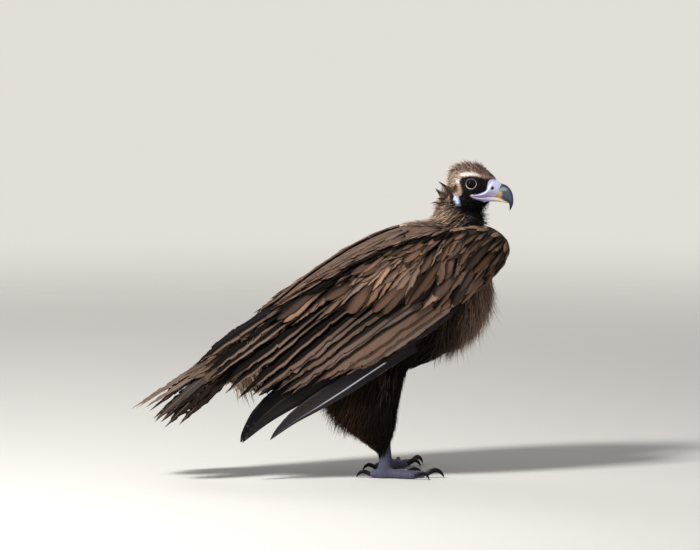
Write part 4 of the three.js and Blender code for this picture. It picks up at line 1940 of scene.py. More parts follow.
def varied(
    rng: np.random.Generator, colour: Colour, count: int, spread: float = 0.16, warm: float = 0.06
) -> np.ndarray:
    """One colour for each of several vanes, a little lighter or darker and warmer or cooler.

    Args:
        rng: The random source.
        colour: The middle colour.
        count: How many.
        spread: How much the lightness varies.
        warm: How much the warmth varies.

    Returns:
        The colours.
    """
    light = np.exp(rng.normal(0, spread, (count, 1)))
    tilt = rng.normal(0, warm, (count, 1)) * np.array([1.0, 0.0, -1.0])
    return np.array(colour) * light * (1 + tilt)


@dataclass(frozen=True)
class Blade:
    """One primary of the folded hand: its shaft's line on the wing, and the vanes beside it."""

    line: Curve
    half: float
    skew: float
    depth: float
    root: float
    fullest: float
    tip: float
    root_tone: Colour
    tone: Colour

    def style(self, side: int) -> VaneStyle:
        """The blade's vane style on one wing.

        Args:
            side: -1 right, 1 left.

        Returns:
            The vane's style.
        """
        # The covered side and the root of each blade are darkened: painted shade where the secondaries and
        # the next blade lie over it, over the feather's own darker base.
        return VaneStyle(
            rows=48, columns=11, root=self.root, fullest=self.fullest, tip=self.tip, ragged=0.03,
            barb=0.15, camber=0.05, ridge=0.08, rise=0, base=0, skew=-self.skew * side, dark_to=0.8,
            covered_side_shade=0.35 * side, fade=0.9
        )


@dataclass
class WingPart:
    """A part of one folded wing's plumage."""

    plumage: Plumage
    side: int

    @property
    def name(self) -> str:
        """The side's name."""
        return "right" if self.side < 0 else "left"


@dataclass
class FlightFeathers(WingPart):
    """The long feathers of one folded wing: secondaries with tertials, and the hand's dark primaries."""

    tuck: float
    blades: tuple[Blade, ...] = (
        Blade(
            Curve((214, -8), (281, -5), (347, -4), (414, -4), (481, -2), (547, 1), (614, -2)), 25, 0.75, 8,
            0.8, 0.42, 1.5, dye(30, 27, 32), dye(58, 51, 53)
        ),
        Blade(
            Curve((200, 8), (278, 15), (357, 24), (435, 31), (514, 34), (592, 36), (671, 30)), 23, 0.75, 15,
            0.6, 0.45, 1.4, dye(14, 12, 14), dye(40, 35, 36)
        ),
        Blade(
            Curve((210, 16), (287, 28), (364, 40), (441, 48), (519, 51), (596, 48), (673, 33)), 32, 0.7, 18,
            0.6, 0.5, 1.6, dye(10, 9, 11), dye(18, 16, 18)
        ),
        Blade(
            Curve((230, 40), (306, 50), (382, 59), (458, 64), (534, 66), (610, 58)), 24, 0.5, 21, 0.6, 0.5,
            1.6, dye(12, 10, 12), dye(20, 17, 19)
        ),
        Blade(
            Curve((250, 60), (330, 74), (412, 86), (494, 94), (576, 96)), 18, 0.3, 24, 0.6, 0.5, 1.5,
            dye(12, 10, 12), dye(20, 17, 19)
        ),
    )

    def _ribbons(
        self, starts: np.ndarray, ends: np.ndarray, bend: np.ndarray, level: Callable, style: VaneStyle,
        extra: float = 0.0
    ) -> tuple[np.ndarray, np.ndarray]:
        """Lays spines in the wing's own surface.

        Args:
            starts: Roots, along and up the wing.
            ends: Tips.
            bend: How far each bows sideways.
            level: Gives the depth from the shares along.
            style: The vane's style.
            extra: Depth added, one for each vane or one for all.

        Returns:
            The spines and their outward directions.
        """
        frame = WingFrame(self.side)
        t = style.shares()[None]
        reach = ends - starts
        across = unit(np.stack([-reach[:, 1], reach[:, 0]], 1))
        bow = (bend[:, None] * t * (t - 1) * 4)[..., None]
        spots = starts[:, None] + reach[:, None] * t[..., None] + across[:, None] * bow
        depth = level(t) + np.broadcast_to(np.reshape(extra, (-1, 1)), (len(starts), 1))
        a, b = spots[..., 0], spots[..., 1]
        return frame.point(a, b, depth), frame.normal(a, b)

    def secondaries(self) -> None:
        """Fourteen secondaries and tertials, shingled so that each lower edge stands over the next."""
        mesh = self.plumage.mesh(f"secondary_feathers_{self.name}", 11 + self.side)
        rng, count = mesh.rng, 14
        across = np.linspace(0, 1, count)
        root = Curve((92, 18), (132, 58), (188, 106), (250, 150), (290, 188), (330, 220)).at(across)
        tip = Curve((388, 27), (474, 54), (546, 92), (606, 124), (652, 176), (660, 230)).at(across)
        tip += rng.normal(0, (13, 3.4), (count, 2)) - self.tuck * 0.4 * across[:, None]
        style = VaneStyle(
            rows=48, columns=13, root=0.6, fullest=0.62, tip=1.4, blunt=0.08, ragged=0.6, split=0.01,
            barb=0.8, calm=2, jag=1.2, camber=0.05, ridge=0.03, rise=0.008, base=0,
            skew=0.1 * self.side, crowd=1.3, dark_from=0.2, dark_to=0.5, covered_side_shade=0.97 * self.side
        )
        spine, up = self._ribbons(
            root, tip, rng.normal(-6, 5, count), lambda t: 8 - 6 * t, style, rng.normal(0, 0.7, count)
        )
        half = np.interp(across, [0, 0.7, 1], [28, 25, 26]) * rng.normal(1, 0.06, count)
        rear = across[:, None] * 0.1
        tones = varied(rng, dye(120, 99, 87), count, 0.16, 0.04) * (1 - rear)
        # Roots darker than tips: partly the feathers' own darker bases, partly painted shade where the
        # coverts lie over them.
        tones = grown(tones, np.interp(across, [0, 0.4, 0.7], [0.85, 0.65, 0.5])[:, None])
        roll = np.interp(across, [0, 0.85, 1], [0.26, 0.4, 0.0]) + 0.06 * rng.standard_normal(count)
        roll *= -self.side
        # Painted shade on each feather's covered upper side, stronger towards the tertials, standing for
        # the dark gaps under the proud lower edges.
        painted_gap_shade = np.interp(across, [0, 0.2, 0.45, 1], [0.5, 0.85, 1.0, 1.0])
        wear = rng.uniform(0.0, 0.5, count)
        # bared is the share of each vane left clear of that painted shade: wide at the front, narrow at the
        # back.
        for bared, rows in ((0.9, slice(0, 4)), (0.5, slice(4, 8)), (0.32, slice(8, count))):
            shaded = replace(style, shade=(bared - 1, bared - 0.8))
            mesh.add(
                spine[rows], up[rows], half[rows], shaded, tones[rows], wear[rows], roll[rows],
                LONG_PATCH, painted_gap_shade=painted_gap_shade[rows]
            )
        mesh.made(self.plumage.finishes["flight"], "flight_feathers", f"secondaries_{self.name}")

    def primaries(self) -> None:
        """The dark blades of the hand, and the lowest one with its white shaft before them."""
        tucked = np.array([-self.tuck * 1.5, self.tuck / 4])
        pieces = (
            ("primary_feathers", "primary", self.blades[1:], 21, 0.0, (f"primaries_{self.name}",)),
            ("lowest_primary", "quill", self.blades[:1], 31, 1.0, ()),
        )
        frame = WingFrame(self.side)
        for title, use, blades, seed, white, nodes in pieces:
            mesh = self.plumage.mesh(f"{title}_{self.name}", seed + self.side)
            for blade in blades:
                style = blade.style(self.side)
                path = blade.line.at(style.shares()) + tucked
                spine = frame.point(path[:, 0], path[:, 1], blade.depth - 4 * style.shares())
                up = frame.normal(path[:, 0], path[:, 1])
                half, wear, turn, quill = np.array([[blade.half], [0.45], [-self.side * 0.05], [white]])
                tones = np.array([[blade.root_tone, blade.tone]])
                mesh.add(spine[None], up[None], half, style, tones, wear, turn, LONG_PATCH, quill)
            mesh.made(self.plumage.finishes[use], "flight_feathers", *nodes)

    def hand_coverts(self) -> None:
        """The dark, bluish coverts that hide the roots of the primaries along the wing's lower edge."""
        mesh = self.plumage.mesh(f"hand_coverts_{self.name}", 35 + self.side)
        rng, count = mesh.rng, 9
        a = np.linspace(212, 70, count)
        root = np.stack([a, np.interp(a, [70, 212], [2, 0]) + rng.normal(0, 3, count)], 1)
        tip = root + np.stack([rng.uniform(68, 88, count), rng.uniform(-4, 6, count)], 1)
        # Painted shade on each vane's covered side, over darker roots.
        style = VaneStyle(
            rows=18, columns=7, root=0.6, fullest=0.55, tip=1.8, ragged=0.16, split=0.08, barb=0.6, jag=0.5,
            camber=0.1, ridge=0.07, rise=0.02, base=0, crowd=1.3, covered_side_shade=0.6 * self.side
        )
        spine, up = self._ribbons(
            root, tip, rng.normal(0, 3, count), lambda t: 6 - 2 * t, style, np.linspace(0, 3, count)
        )
        dark, tones = varied(
            rng, dye(18, 15, 15), count, 0.1, 0.02
        ), varied(rng, dye(46, 37, 35), count, 0.2, 0.04)
        mesh.add(
            spine, up, rng.uniform(8, 10, count), style, np.stack([dark, tones], 1),
            rng.uniform(0.2, 0.5, count), np.full(count, -self.side * 0.12), HAND_PATCH
        )
        mesh.made(self.plumage.finishes["primary"], "flight_feathers")

    def build(self) -> None:
        """Makes the wing's long feathers."""
        self.secondaries()
        self.primaries()
        self.hand_coverts()


@dataclass
class TailFeathers:
    """Twelve pointed tail feathers, spread a little like a roof, with their coverts."""

    plumage: Plumage
    slope: float = math.radians(31.5)
    droop: float = 82.0
    width: float = 84.0

    def place(self, along: np.ndarray, side: np.ndarray, depth: np.ndarray) -> np.ndarray:
        """A point of the tail.

        Args:
            along: Distance from its root.
            side: Distance to the left.
            depth: Distance below its upper side.

        Returns:
            Points in bird millimetres.
        """
        x = -112 - along * math.cos(self.slope) + depth * math.sin(self.slope)
        z = 381 - along * math.sin(self.slope) - depth * math.cos(self.slope)
        return np.stack([x, side, z - self.droop * (side / self.width) ** 2], -1)

    def build(self) -> None:
        """Makes the tail feathers."""
        mesh = self.plumage.mesh("tail_feathers", 41)
        rng, count = mesh.rng, 12
        across = (np.arange(count) + 0.5) / count
        style = VaneStyle(
            rows=40, columns=9, root=0.7, fullest=0.68, tip=1.4, blunt=0.08, ragged=0.24, split=0.14,
            barb=0.8, jag=1.0, camber=0.09, ridge=0.07, rise=0, base=0, crowd=1.25, dark_to=0.6
        )
        root = Curve((0, -40), (0, 0), (0, 40)).at(across)
        spread = (-86, -80, -72, -62, -28, -14, 2, 16, 30, 60, 74, 86)
        reach = (300, 330, 346, 352, 380, 392, 398, 392, 380, 350, 330, 306)
        tip = np.stack([reach, spread], 1) + rng.normal(0, (7, 2), (count, 2))
        t = style.shares()[None, :, None]
        spots = root[:, None] + (tip - root)[:, None] * t
        inner = np.abs(across - 0.5) * 2
        spine, up = self._laid(spots, (2.5 + 4.5 * inner)[:, None])
        roll = np.where(across < 0.5, 1, -1) * 0.22
        # Painted shade: the outer feathers on both sides are darkened and show less worn edge, standing for
        # the drooping outer feathers in shadow.
        dark = smooth_between(0.3, 0.5, inner)[:, None]
        tones = varied(rng, dye(104, 88, 80), count, 0.12) * (1 - dark)
        tones = tones + varied(rng, dye(30, 23, 20), count, 0.12) * dark
        worn = rng.uniform(0.3, 0.8, count) * (1 - 0.35 * dark[:, 0])
        mesh.add(spine, up, np.full(count, 20.0), style, grown(tones, 0.4), worn, roll, LONG_PATCH)
        mesh.made(self.plumage.finishes["tail"], "tail_feathers", "tail")
        self._coverts()

    def _laid(self, spots: np.ndarray, depth: np.ndarray) -> tuple[np.ndarray, np.ndarray]:
        """Puts spines on the tail's roof.

        Args:
            spots: Places along the tail and to its side.
            depth: How deep each lies.

        Returns:
            The spines and their outward directions.
        """
        depth = depth + np.zeros(spots.shape[:2])
        along, side = spots[..., 0], spots[..., 1]
        spine = self.place(along, side, depth)
        aside = self.place(along, side + 1, depth) - self.place(along, side - 1, depth)
        up = unit(np.cross(aside, unit(np.gradient(spine, axis=1))))
        return spine, up * np.sign(up[..., 2:3])

    def _coverts(self) -> None:
        """Long dark coverts over the tail's base, and pale down with thin dark wisps below it."""
        mesh = self.plumage.mesh("tail_coverts", 45)
        rng, count = mesh.rng, 34
        style = VaneStyle(
            rows=18, columns=7, root=0.6, fullest=0.55, tip=1.6, blunt=0.12, split=0.06, barb=0.6, jag=0.8,
            camber=0.12, rise=0.03, base=0, dark_to=0.7
        )
        start = np.stack([rng.uniform(-30, 110, count), rng.uniform(-34, 60, count)], 1)
        end = start + np.stack([rng.uniform(110, 150, count), start[:, 1] * 0.2], 1)
        order = np.argsort(-start[:, 0])
        spots = start[order, None] + (end - start)[order, None] * style.shares()[None, :, None]
        spine, up = self._laid(spots, np.linspace(-1, -9, count)[:, None])
        tones = varied(rng, dye(98, 78, 64), count, 0.2)
        mesh.add(
            spine, up, rng.uniform(11, 15, count), style, grown(tones, 0.16),
            rng.uniform(0.1, 0.5, count), rng.normal(0, 0.1, count)
        )
        count = 700
        wisp = replace(WISP, camber=0.4, rise=0, base=0, crowd=1.0, dark_to=0.4)
        start = np.stack([rng.uniform(20, 140, count), rng.uniform(-70, 66, count)], 1)
        is_dark = rng.random((count, 1)) < 0.05
        fall = rng.uniform(30, 62, count) * np.where(is_dark[:, 0], 1.3, 1.0)
        t = wisp.shares()[None, :]
        along = start[:, :1] + rng.uniform(6, 26, (count, 1)) * t
        depth = 16 + fall[:, None] * (t + 0.25 * t * t)
        spine = self.place(along, start[:, 1:] + rng.normal(0, 5, (count, 1)) * t, depth)
        up = np.tile(np.array([0.2, -1.0, 0.1]), (count, wisp.rows + 1, 1))
        up = up * np.sign(-start[:, 1] + 1e-6)[:, None, None]
        dark, pale = varied(rng, dye(26, 20, 18), count, 0.2), varied(rng, dye(222, 200, 172), count, 0.25)
        half = rng.uniform(1.8, 3.4, count) * np.where(is_dark[:, 0], 0.6, 1.0)
        tones = grown(np.where(is_dark, dark, pale), 0.5)
        mesh.add(spine, unit(up), half, wisp, tones, np.zeros(count))
        mesh.made(self.plumage.finishes["tail"], "tail_feathers")


@dataclass
class WingCoverts(WingPart):
    """The shorter feathers over one wing, in rows that shrink towards the wrist."""

    fresh: float = 0.3
    quills: tuple[tuple[float, float, float, float], ...] = ((40, 92, 12, 0.8), (150, 118, 13, 0.4))
    steps: tuple[float, ...] = (
        *(0, 52, 42, 34, 28, 24, 21, 19, 18, 17, 16), *(15,) * 3, *(14,) * 12
    )

    def row_tips(self, b: np.ndarray) -> np.ndarray:
        """Where the greater coverts end, for each height on the wing.

        Args:
            b: Heights on the wing.

        Returns:
            Distances from the wing's front corner.
        """
        return np.interp(
            b, [-12, 8, 31, 65, 97, 126, 147, 167, 179, 205, 250],
            [120, 150, 158, 178, 248, 278, 306, 336, 400, 430, 446]
        )

    def style(self, is_large: bool, is_fresh: bool) -> VaneStyle:
        """The vane's shape: a fresh covert is broad, smooth and rounded, a worn one frayed.

        Args:
            is_large: Whether it is a greater covert.
            is_fresh: Whether it has grown lately.

        Returns:
            The style.
        """
        rows, columns, rise, base = (16, 9, 0.075, 2.4) if is_large else (10, 7, 0.13, 1.4)
        ragged, split, jag, tip, lift = (
            (0.1, 0.02, 0.3, 1.8, 1.5) if is_fresh else (0.36, 0.1, 1.4, 1.3, 0.9)
        )
        # Each covert's covered side and root are darkened: painted shade where its neighbours lie over it,
        # over its own darker base.
        return VaneStyle(
            rows=rows, columns=columns, root=0.6, fullest=0.66, tip=tip, ragged=ragged, split=split,
            barb=0.5, jag=jag, camber=0.13, rise=rise * lift, base=base, crowd=1.5, dark_from=0.12,
            dark_to=0.6, covered_side_shade=0.88 * self.side, shade=(-0.15, 0.5)
        )

    @staticmethod
    def lean(a: np.ndarray, b: np.ndarray) -> np.ndarray:
        """How far the feathers point down from the wing's own length, steepest in its upper front."""
        steep = np.interp(b, [-10, 10, 50, 100, 160, 220], [0.02, 0.12, 0.38, 0.52, 0.42, 0.25])
        return steep * np.interp(a, [-60, 60, 200, 330, 430], [0.6, 1.0, 0.8, 0.4, 0.15])

    def build(self) -> None:
        """Makes the coverts."""
        frame = WingFrame(self.side)
        large = self.plumage.mesh(f"greater_coverts_{self.name}", 51 + self.side)
        small = self.plumage.mesh(f"lesser_coverts_{self.name}", 61 + self.side)
        for row, back in enumerate(np.cumsum(self.steps)):
            exposed = self.steps[row + 1] if row + 1 < len(self.steps) else 14.0
            half = np.interp(exposed, [14, 20, 34, 52], [6.0, 7.8, 10.4, 12.6])
            is_large = row < 4
            mesh = large if is_large else small
            rng = mesh.rng
            b = np.arange(-10, 240, half * 1.25) + rng.uniform(0, half)
            b = b + rng.normal(0, half * 0.22, len(b))
            a = self.row_tips(b) - back + rng.normal(0, exposed * 0.3, len(b))
            length = (2.3 * exposed + 26) * rng.normal(1, 0.15, len(b))
            lean = self.lean(a, b) + rng.normal(0, 0.13, len(b))
            root_a, root_b = a - length * np.cos(lean), b + length * np.sin(lean)
            front = np.interp(
                root_b, [-8, 4, 15, 45, 78, 104, 139, 168, 209, 240],
                [20, -2, -50, -100, -112, -96, -60, -24, 60, 200]
            )
            line = mantle_line(a)
            keep = (root_a > front) & (a < 440) & (b < line + 6)
            a, b, length, lean, root_a, root_b, line = (
                item[keep] for item in (a, b, length, lean, root_a, root_b, line)
            )
            count = len(a)
            if not count:
                continue
            ways = TOWARDS_TAIL * np.cos(lean)[:, None] - UP_THE_WING * np.sin(lean)[:, None]
            roots = frame.point(root_a, root_b, np.full(count, -6.0))
            wrist = smooth_between(60, -70, a)[:, None] * smooth_between(-10, 60, b)[:, None] * 0.1
            # Painted shade: coverts just below the line where the back's feathers end are darkened almost
            # to black, standing for the shadowed crevice under the scapulars' tips. The factor also darkens
            # slightly towards the wrist and lightens the greater coverts.
            painted_crevice_shade = smooth_between(-30, -14, b - line)[:, None] * smooth_between(20, 90, a)[:, None]
            shade = (1 - wrist) * (1 - 0.95 * painted_crevice_shade) * (1.14 if is_large else 1)
            quill = sum(share * (np.hypot(a - at, b - up) < reach) for at, up, reach, share in self.quills)
            is_fresh = rng.random(count) < self.fresh
            size = half * np.clip(rng.normal(1, 0.22, count), 0.6, 1.5)
            roll = rng.normal(-self.side * 0.14, 0.12, count)
            for fresh, chosen in ((True, is_fresh), (False, ~is_fresh)):
                if not chosen.any():
                    continue
                style = self.style(is_large, fresh)
                spine, up = self.plumage.fly(roots[chosen], ways[chosen], length[chosen], style)
                number = int(chosen.sum())
                colour, wear = (dye(107, 84, 70), (0.2, 0.55)) if fresh else (dye(131, 105, 89), (0.1, 0.6))
                tones = varied(rng, colour, number, 0.28, 0.05) * shade[chosen]
                worn = rng.uniform(*wear, number) * shade[chosen, 0]
                wide = size[chosen] * (1.25 if fresh else 0.92)
                mesh.add(
                    spine, up, wide, style, grown(tones, 0.1 if fresh else 0.26), worn, roll[chosen],
                    LARGE_PATCH if is_large else PATCH, quill[chosen]
                )
        large.made(self.plumage.finishes["covert"], "wing_coverts")
        self._rim(small)
        small.made(self.plumage.finishes["covert"], "wing_coverts")

    def _rim(self, mesh: VaneMesh) -> None:
        """Small coverts round the wing's front edge and on what shows of its inner side.

        Args:
            mesh: The piece that they join.
        """
        rng, inward = mesh.rng, self.plumage.base.facing[:, 1] * self.side < 0.45
        roots, _ = self.plumage.roots(self.plumage.on(f"wing_arm_{self.name}") & inward, 10.0, rng, 60)
        count = len(roots)
        style = VaneStyle(rows=8, columns=5, tip=1.9, blunt=0.15, jag=0.5, rise=0.07, dark_to=0.6)
        ways = TOWARDS_TAIL + rng.normal(0, 0.1, (count, 3))
        spine, up = self.plumage.fly(roots, ways, rng.uniform(28, 38, count), style)
        tones = varied(rng, dye(128, 102, 86), count, 0.2)
        mesh.add(
            spine, up, rng.uniform(7, 9, count), style, grown(tones, 0.4),
            rng.uniform(0.2, 0.7, count)
        )


class Tract(Enum):
    """The coat's regions on the body."""

    MANTLE = "mantle"
    BREAST = "breast"
    THIGHS = "thighs"
    RUFF = "ruff"
    HEAD = "head"


@dataclass
class BodyCoat:
    """The contour feathers of back, breast, belly and thighs."""

    plumage: Plumage

    def on_top(self) -> np.ndarray:
        """Which triangles of the base lie above the line between back and flank."""
        x, z = self.plumage.base.middles[:, 0], self.plumage.base.middles[:, 2]
        return (z > 0.70 * (x + 130) + 262) & (x < 300)

    def mantle(self) -> None:
        """Back and scapulars: neat brown feathers that end in a ragged line over the wings."""
        mesh = self.plumage.mesh("mantle_feathers", 71)
        rng = mesh.rng
        on_back = self.plumage.on("trunk", "neck") & self.on_top()
        roots, normals = self.plumage.roots(on_back, 8.6, rng, 90)
        count = len(roots)
        style = VaneStyle(
            rows=8, columns=7, tip=2.0, blunt=0.12, ragged=0.06, barb=0.5, jag=0.4, camber=0.07, ridge=0.03,
            rise=0.018, base=1.2, dark_to=0.6
        )
        ways = flattened(TOWARDS_TAIL + rng.normal(0, 0.08, (count, 3)), normals)
        rear = smooth_between(250, -200, roots[:, 0])
        lengths = (34 + 44 * rear) * rng.normal(1, 0.1, count)
        spine, up = self.plumage.fly(roots, ways, lengths, style)
        tones = varied(rng, dye(114, 93, 80), count, 0.08, 0.04) * (1 - 0.3 * rear[:, None])
        mesh.add(
            spine, up, (7.6 + 5.6 * rear) * rng.normal(1, 0.12, count), style, grown(tones, 0.85),
            rng.uniform(0.1, 0.4, count), rng.normal(0, 0.04, count)
        )
        self._scapulars(mesh)
        mesh.made(self.plumage.finishes["contour"], "body_plumage")

    def _scapulars(self, mesh: VaneMesh) -> None:
        """Longer feathers of the shoulder, whose ragged tips stand over the wings' upper coverts, with a
        row of near-black vanes beneath them as painted shadow.

        Args:
            mesh: The piece that they join.
        """
        rng = mesh.rng
        for side in SIDES.values():
            frame = WingFrame(side)
            for line in (-1, 0, 1, 2, 3):
                a = np.arange(6 + max(line, 0) * 45, 470, 9.5 + line) + rng.uniform(-3, 3)
                a = a + rng.normal(0, 3, len(a))
                count = len(a)
                b = mantle_line(a) + (9 * line if line >= 0 else -13) + rng.normal(0, 3.5, count)
                grow = np.interp(a, [0, 150, 400], [0.5, 0.9, 1.15])
                length = (72 + 5 * line) * grow * rng.normal(1, 0.1, count)
                lean = np.interp(a, [0, 100, 300, 450], [0.5, 0.3, 0.14, 0.05]) + rng.normal(0, 0.06, count)
                spots = frame.point(
                    a - length * np.cos(lean), b + length * np.sin(lean), np.full(count, -8.0)
                )
                style = VaneStyle(
                    rows=13, columns=9, root=0.6, fullest=0.55, tip=1.6, blunt=0.1, ragged=0.22, split=0.1,
                    barb=0.7, jag=0.9, rise=0.12 if line < 1 else 0.05, base=5.0 + 0.6 * line, crowd=1.5,
                    dark_to=0.8, covered_side_shade=0.9 * side, shade=(-0.8, 0.1)
                )
                ways = TOWARDS_TAIL * np.cos(lean)[:, None] - UP_THE_WING * np.sin(lean)[:, None]
                spine, up = self.plumage.fly(spots, ways, length, style)
                # Line -1 is a row of near-black vanes below the others: a painted shadow that fills the
                # crevice under the scapulars' tips.
                tones = varied(rng, dye(118, 96, 82) if line >= 0 else dye(18, 14, 13), count, 0.2, 0.06)
                strong = 1.0 if line < 1 else 0.2
                roll = rng.normal(-side * 0.24, 0.1, count) * strong
                # Painted shade on the covered side of the lowest scapulars, deepest towards the rear, for
                # the dark gaps between them; the upper lines get little.
                painted_gap_shade = rng.uniform(0.2, 1.0, count) * np.interp(a, [0, 180, 300], [0.2, 0.5, 1.0]) * strong
                mesh.add(
                    spine, up, (7.4 + 0.9 * line) * (0.5 + 0.6 * grow), style,
                    grown(tones, 0.3 if line < 1 else 0.7),
                    rng.uniform(0.1, 0.6, count) * (line >= 0), roll, painted_gap_shade=painted_gap_shade
                )

    def breast(self) -> None:
        """Breast, belly and flanks: looser, darker feathers with hair-like tips."""
        mesh = self.plumage.mesh("breast_feathers", 81)
        rng = mesh.rng
        roots, normals = self.plumage.roots(self.plumage.on("trunk") & ~self.on_top(), 7.6, rng, 70)
        count = len(roots)
        style = VaneStyle(
            rows=7, columns=5, root=0.5, fullest=0.4, tip=1.2, blunt=0.12, ragged=0.4, split=0.1, barb=0.7,
            jag=1.6, camber=0.3, rise=0.08, curl=0.06
        )
        ways = flattened(np.array([-0.5, 0, -0.86]) + rng.normal(0, 0.14, (count, 3)), normals)
        spine, up = self.plumage.fly(roots, ways, rng.uniform(34, 58, count), style)
        front = smooth_between(230, 350, roots[:, 0])[:, None]
        middle = varied(rng, dye(26, 20, 17), count, 0.25) * (1 - front)
        middle = middle + varied(rng, dye(86, 69, 59), count, 0.3) * front
        mesh.add(
            spine, up, rng.uniform(3.4, 5.6, count), style, grown(middle, 0.3),
            rng.uniform(0.1, 0.4, count) * front[:, 0], rng.normal(0, 0.2, count)
        )
        mesh.made(self.plumage.finishes["loose"], "body_plumage")
        self._fringe()

    def _fringe(self) -> None:
        """Long pale hair-like tips that hang from the breast below the wing's front."""
        mesh = self.plumage.mesh("breast_wisps", 85)
        rng, spots = mesh.rng, self.plumage.base.middles
        front = self.plumage.on("trunk") & (spots[:, 0] > 255) & (spots[:, 2] < 480) & (spots[:, 2] > 318)
        roots, normals = self.plumage.roots(front, 3.6, rng, 60)
        count = len(roots)
        style = replace(WISP, rows=8, ridge=0.1, rise=0.16, base=1.5, curl=0.2)
        ways = flattened(np.array([-0.3, 0, -1.0]) + rng.normal(0, 0.2, (count, 3)), normals)
        spine, up = self.plumage.fly(roots, ways, rng.uniform(24, 72, count), style)
        sag = rng.uniform(0, 16, count) + 26 * (rng.random(count) < 0.05)
        hang = sag[:, None, None] * style.shares()[None, :, None] ** 2
        spine = spine + hang * (0.25, 0, -1)
        middle = varied(rng, dye(128, 106, 92), count, 0.5, 0.04)
        middle = middle * (0.2 + 0.8 * smooth_between(290, 350, roots[:, 0])[:, None])
        mesh.add(
            spine, up, rng.uniform(0.8, 1.7, count), style, grown(middle, 0.35, 1.2),
            np.zeros(count)
        )
        mesh.made(self.plumage.finishes["down"], "body_plumage")

    def thighs(self) -> None:
        """The trousers: near-black loose feathers with a brown hair-like fringe behind."""
        mesh, wisps = self.plumage.mesh("thigh_feathers", 91), self.plumage.mesh("thigh_wisps", 95)
        rng = mesh.rng
        for coat, spacing, is_wisp in ((mesh, 5.4, False), (wisps, 4.4, True)):
            roots, normals = self.plumage.roots(self.plumage.on("thigh"), spacing, rng, 60)
            count = len(roots)
            low = smooth_between(190, 70, roots[:, 2])
            hem = np.interp(roots[:, 0] - 16 * (np.sign(roots[:, 1]) + 1), [122, 136, 162], [44, 52, 80])
            ways = flattened(np.array([-0.3, 0, -1.0]) + rng.normal(0, 0.16, (count, 3)), normals)
            lengths = rng.uniform(30, 56, count) * (1 - 0.4 * low)
            lengths = np.clip(lengths, 9, np.maximum(9, (roots[:, 2] - hem) * 1.1))
            behind = smooth_between(140, 50, roots[:, :1]) * smooth_between(0.3, -0.4, normals[:, :1])
            lengths = lengths * (1 + 0.35 * behind[:, 0])
            if is_wisp:
                style = replace(WISP, rise=0.07, base=0.6, curl=0.12)
                middle = varied(rng, dye(26, 20, 17), count, 0.3) * (1 - behind)
                middle = middle + varied(rng, dye(66, 50, 39), count, 0.5) * behind
                half = rng.uniform(0.8, 1.5, count)
            else:
                style = VaneStyle(
                    rows=7, columns=5, root=0.5, fullest=0.35, tip=1.2, blunt=0.1, ragged=0.4, split=0.1,
                    barb=0.6, jag=1.6, camber=0.35, rise=0.03, base=0.2, curl=0.02
                )
                middle = varied(rng, dye(22, 17, 15), count, 0.3) * (1 + 0.7 * behind)
                half = rng.uniform(2.6, 4.2, count) * (1 - 0.3 * low)
            spine, up = self.plumage.fly(roots, ways, lengths, style)
            if is_wisp:
                high = behind * smooth_between(110, 165, roots[:, 2:]) * rng.uniform(0, 1, (count, 1))
                spine = spine + (high * (-16, 0, -26))[:, None] * style.shares()[None, :, None] ** 2
                # Painted light: about half the wisps in an oval on the mid thigh are lightened, for a patch
                # where light catches the fluff.
                lit = np.exp(-(((roots[:, :1] - 134) / 24) ** 2) - ((roots[:, 2:] - 236) / 34) ** 2)
                lit = lit * (rng.random((count, 1)) < 0.5)
                middle = middle + (dye(112, 96, 84) - middle) * lit
            coat.add(
                spine, up, half, style, grown(middle, 0.5), np.zeros(count),
                rng.normal(0, 0.2, count)
            )
            coat.made(self.plumage.finishes["loose"], "thigh_plumage")


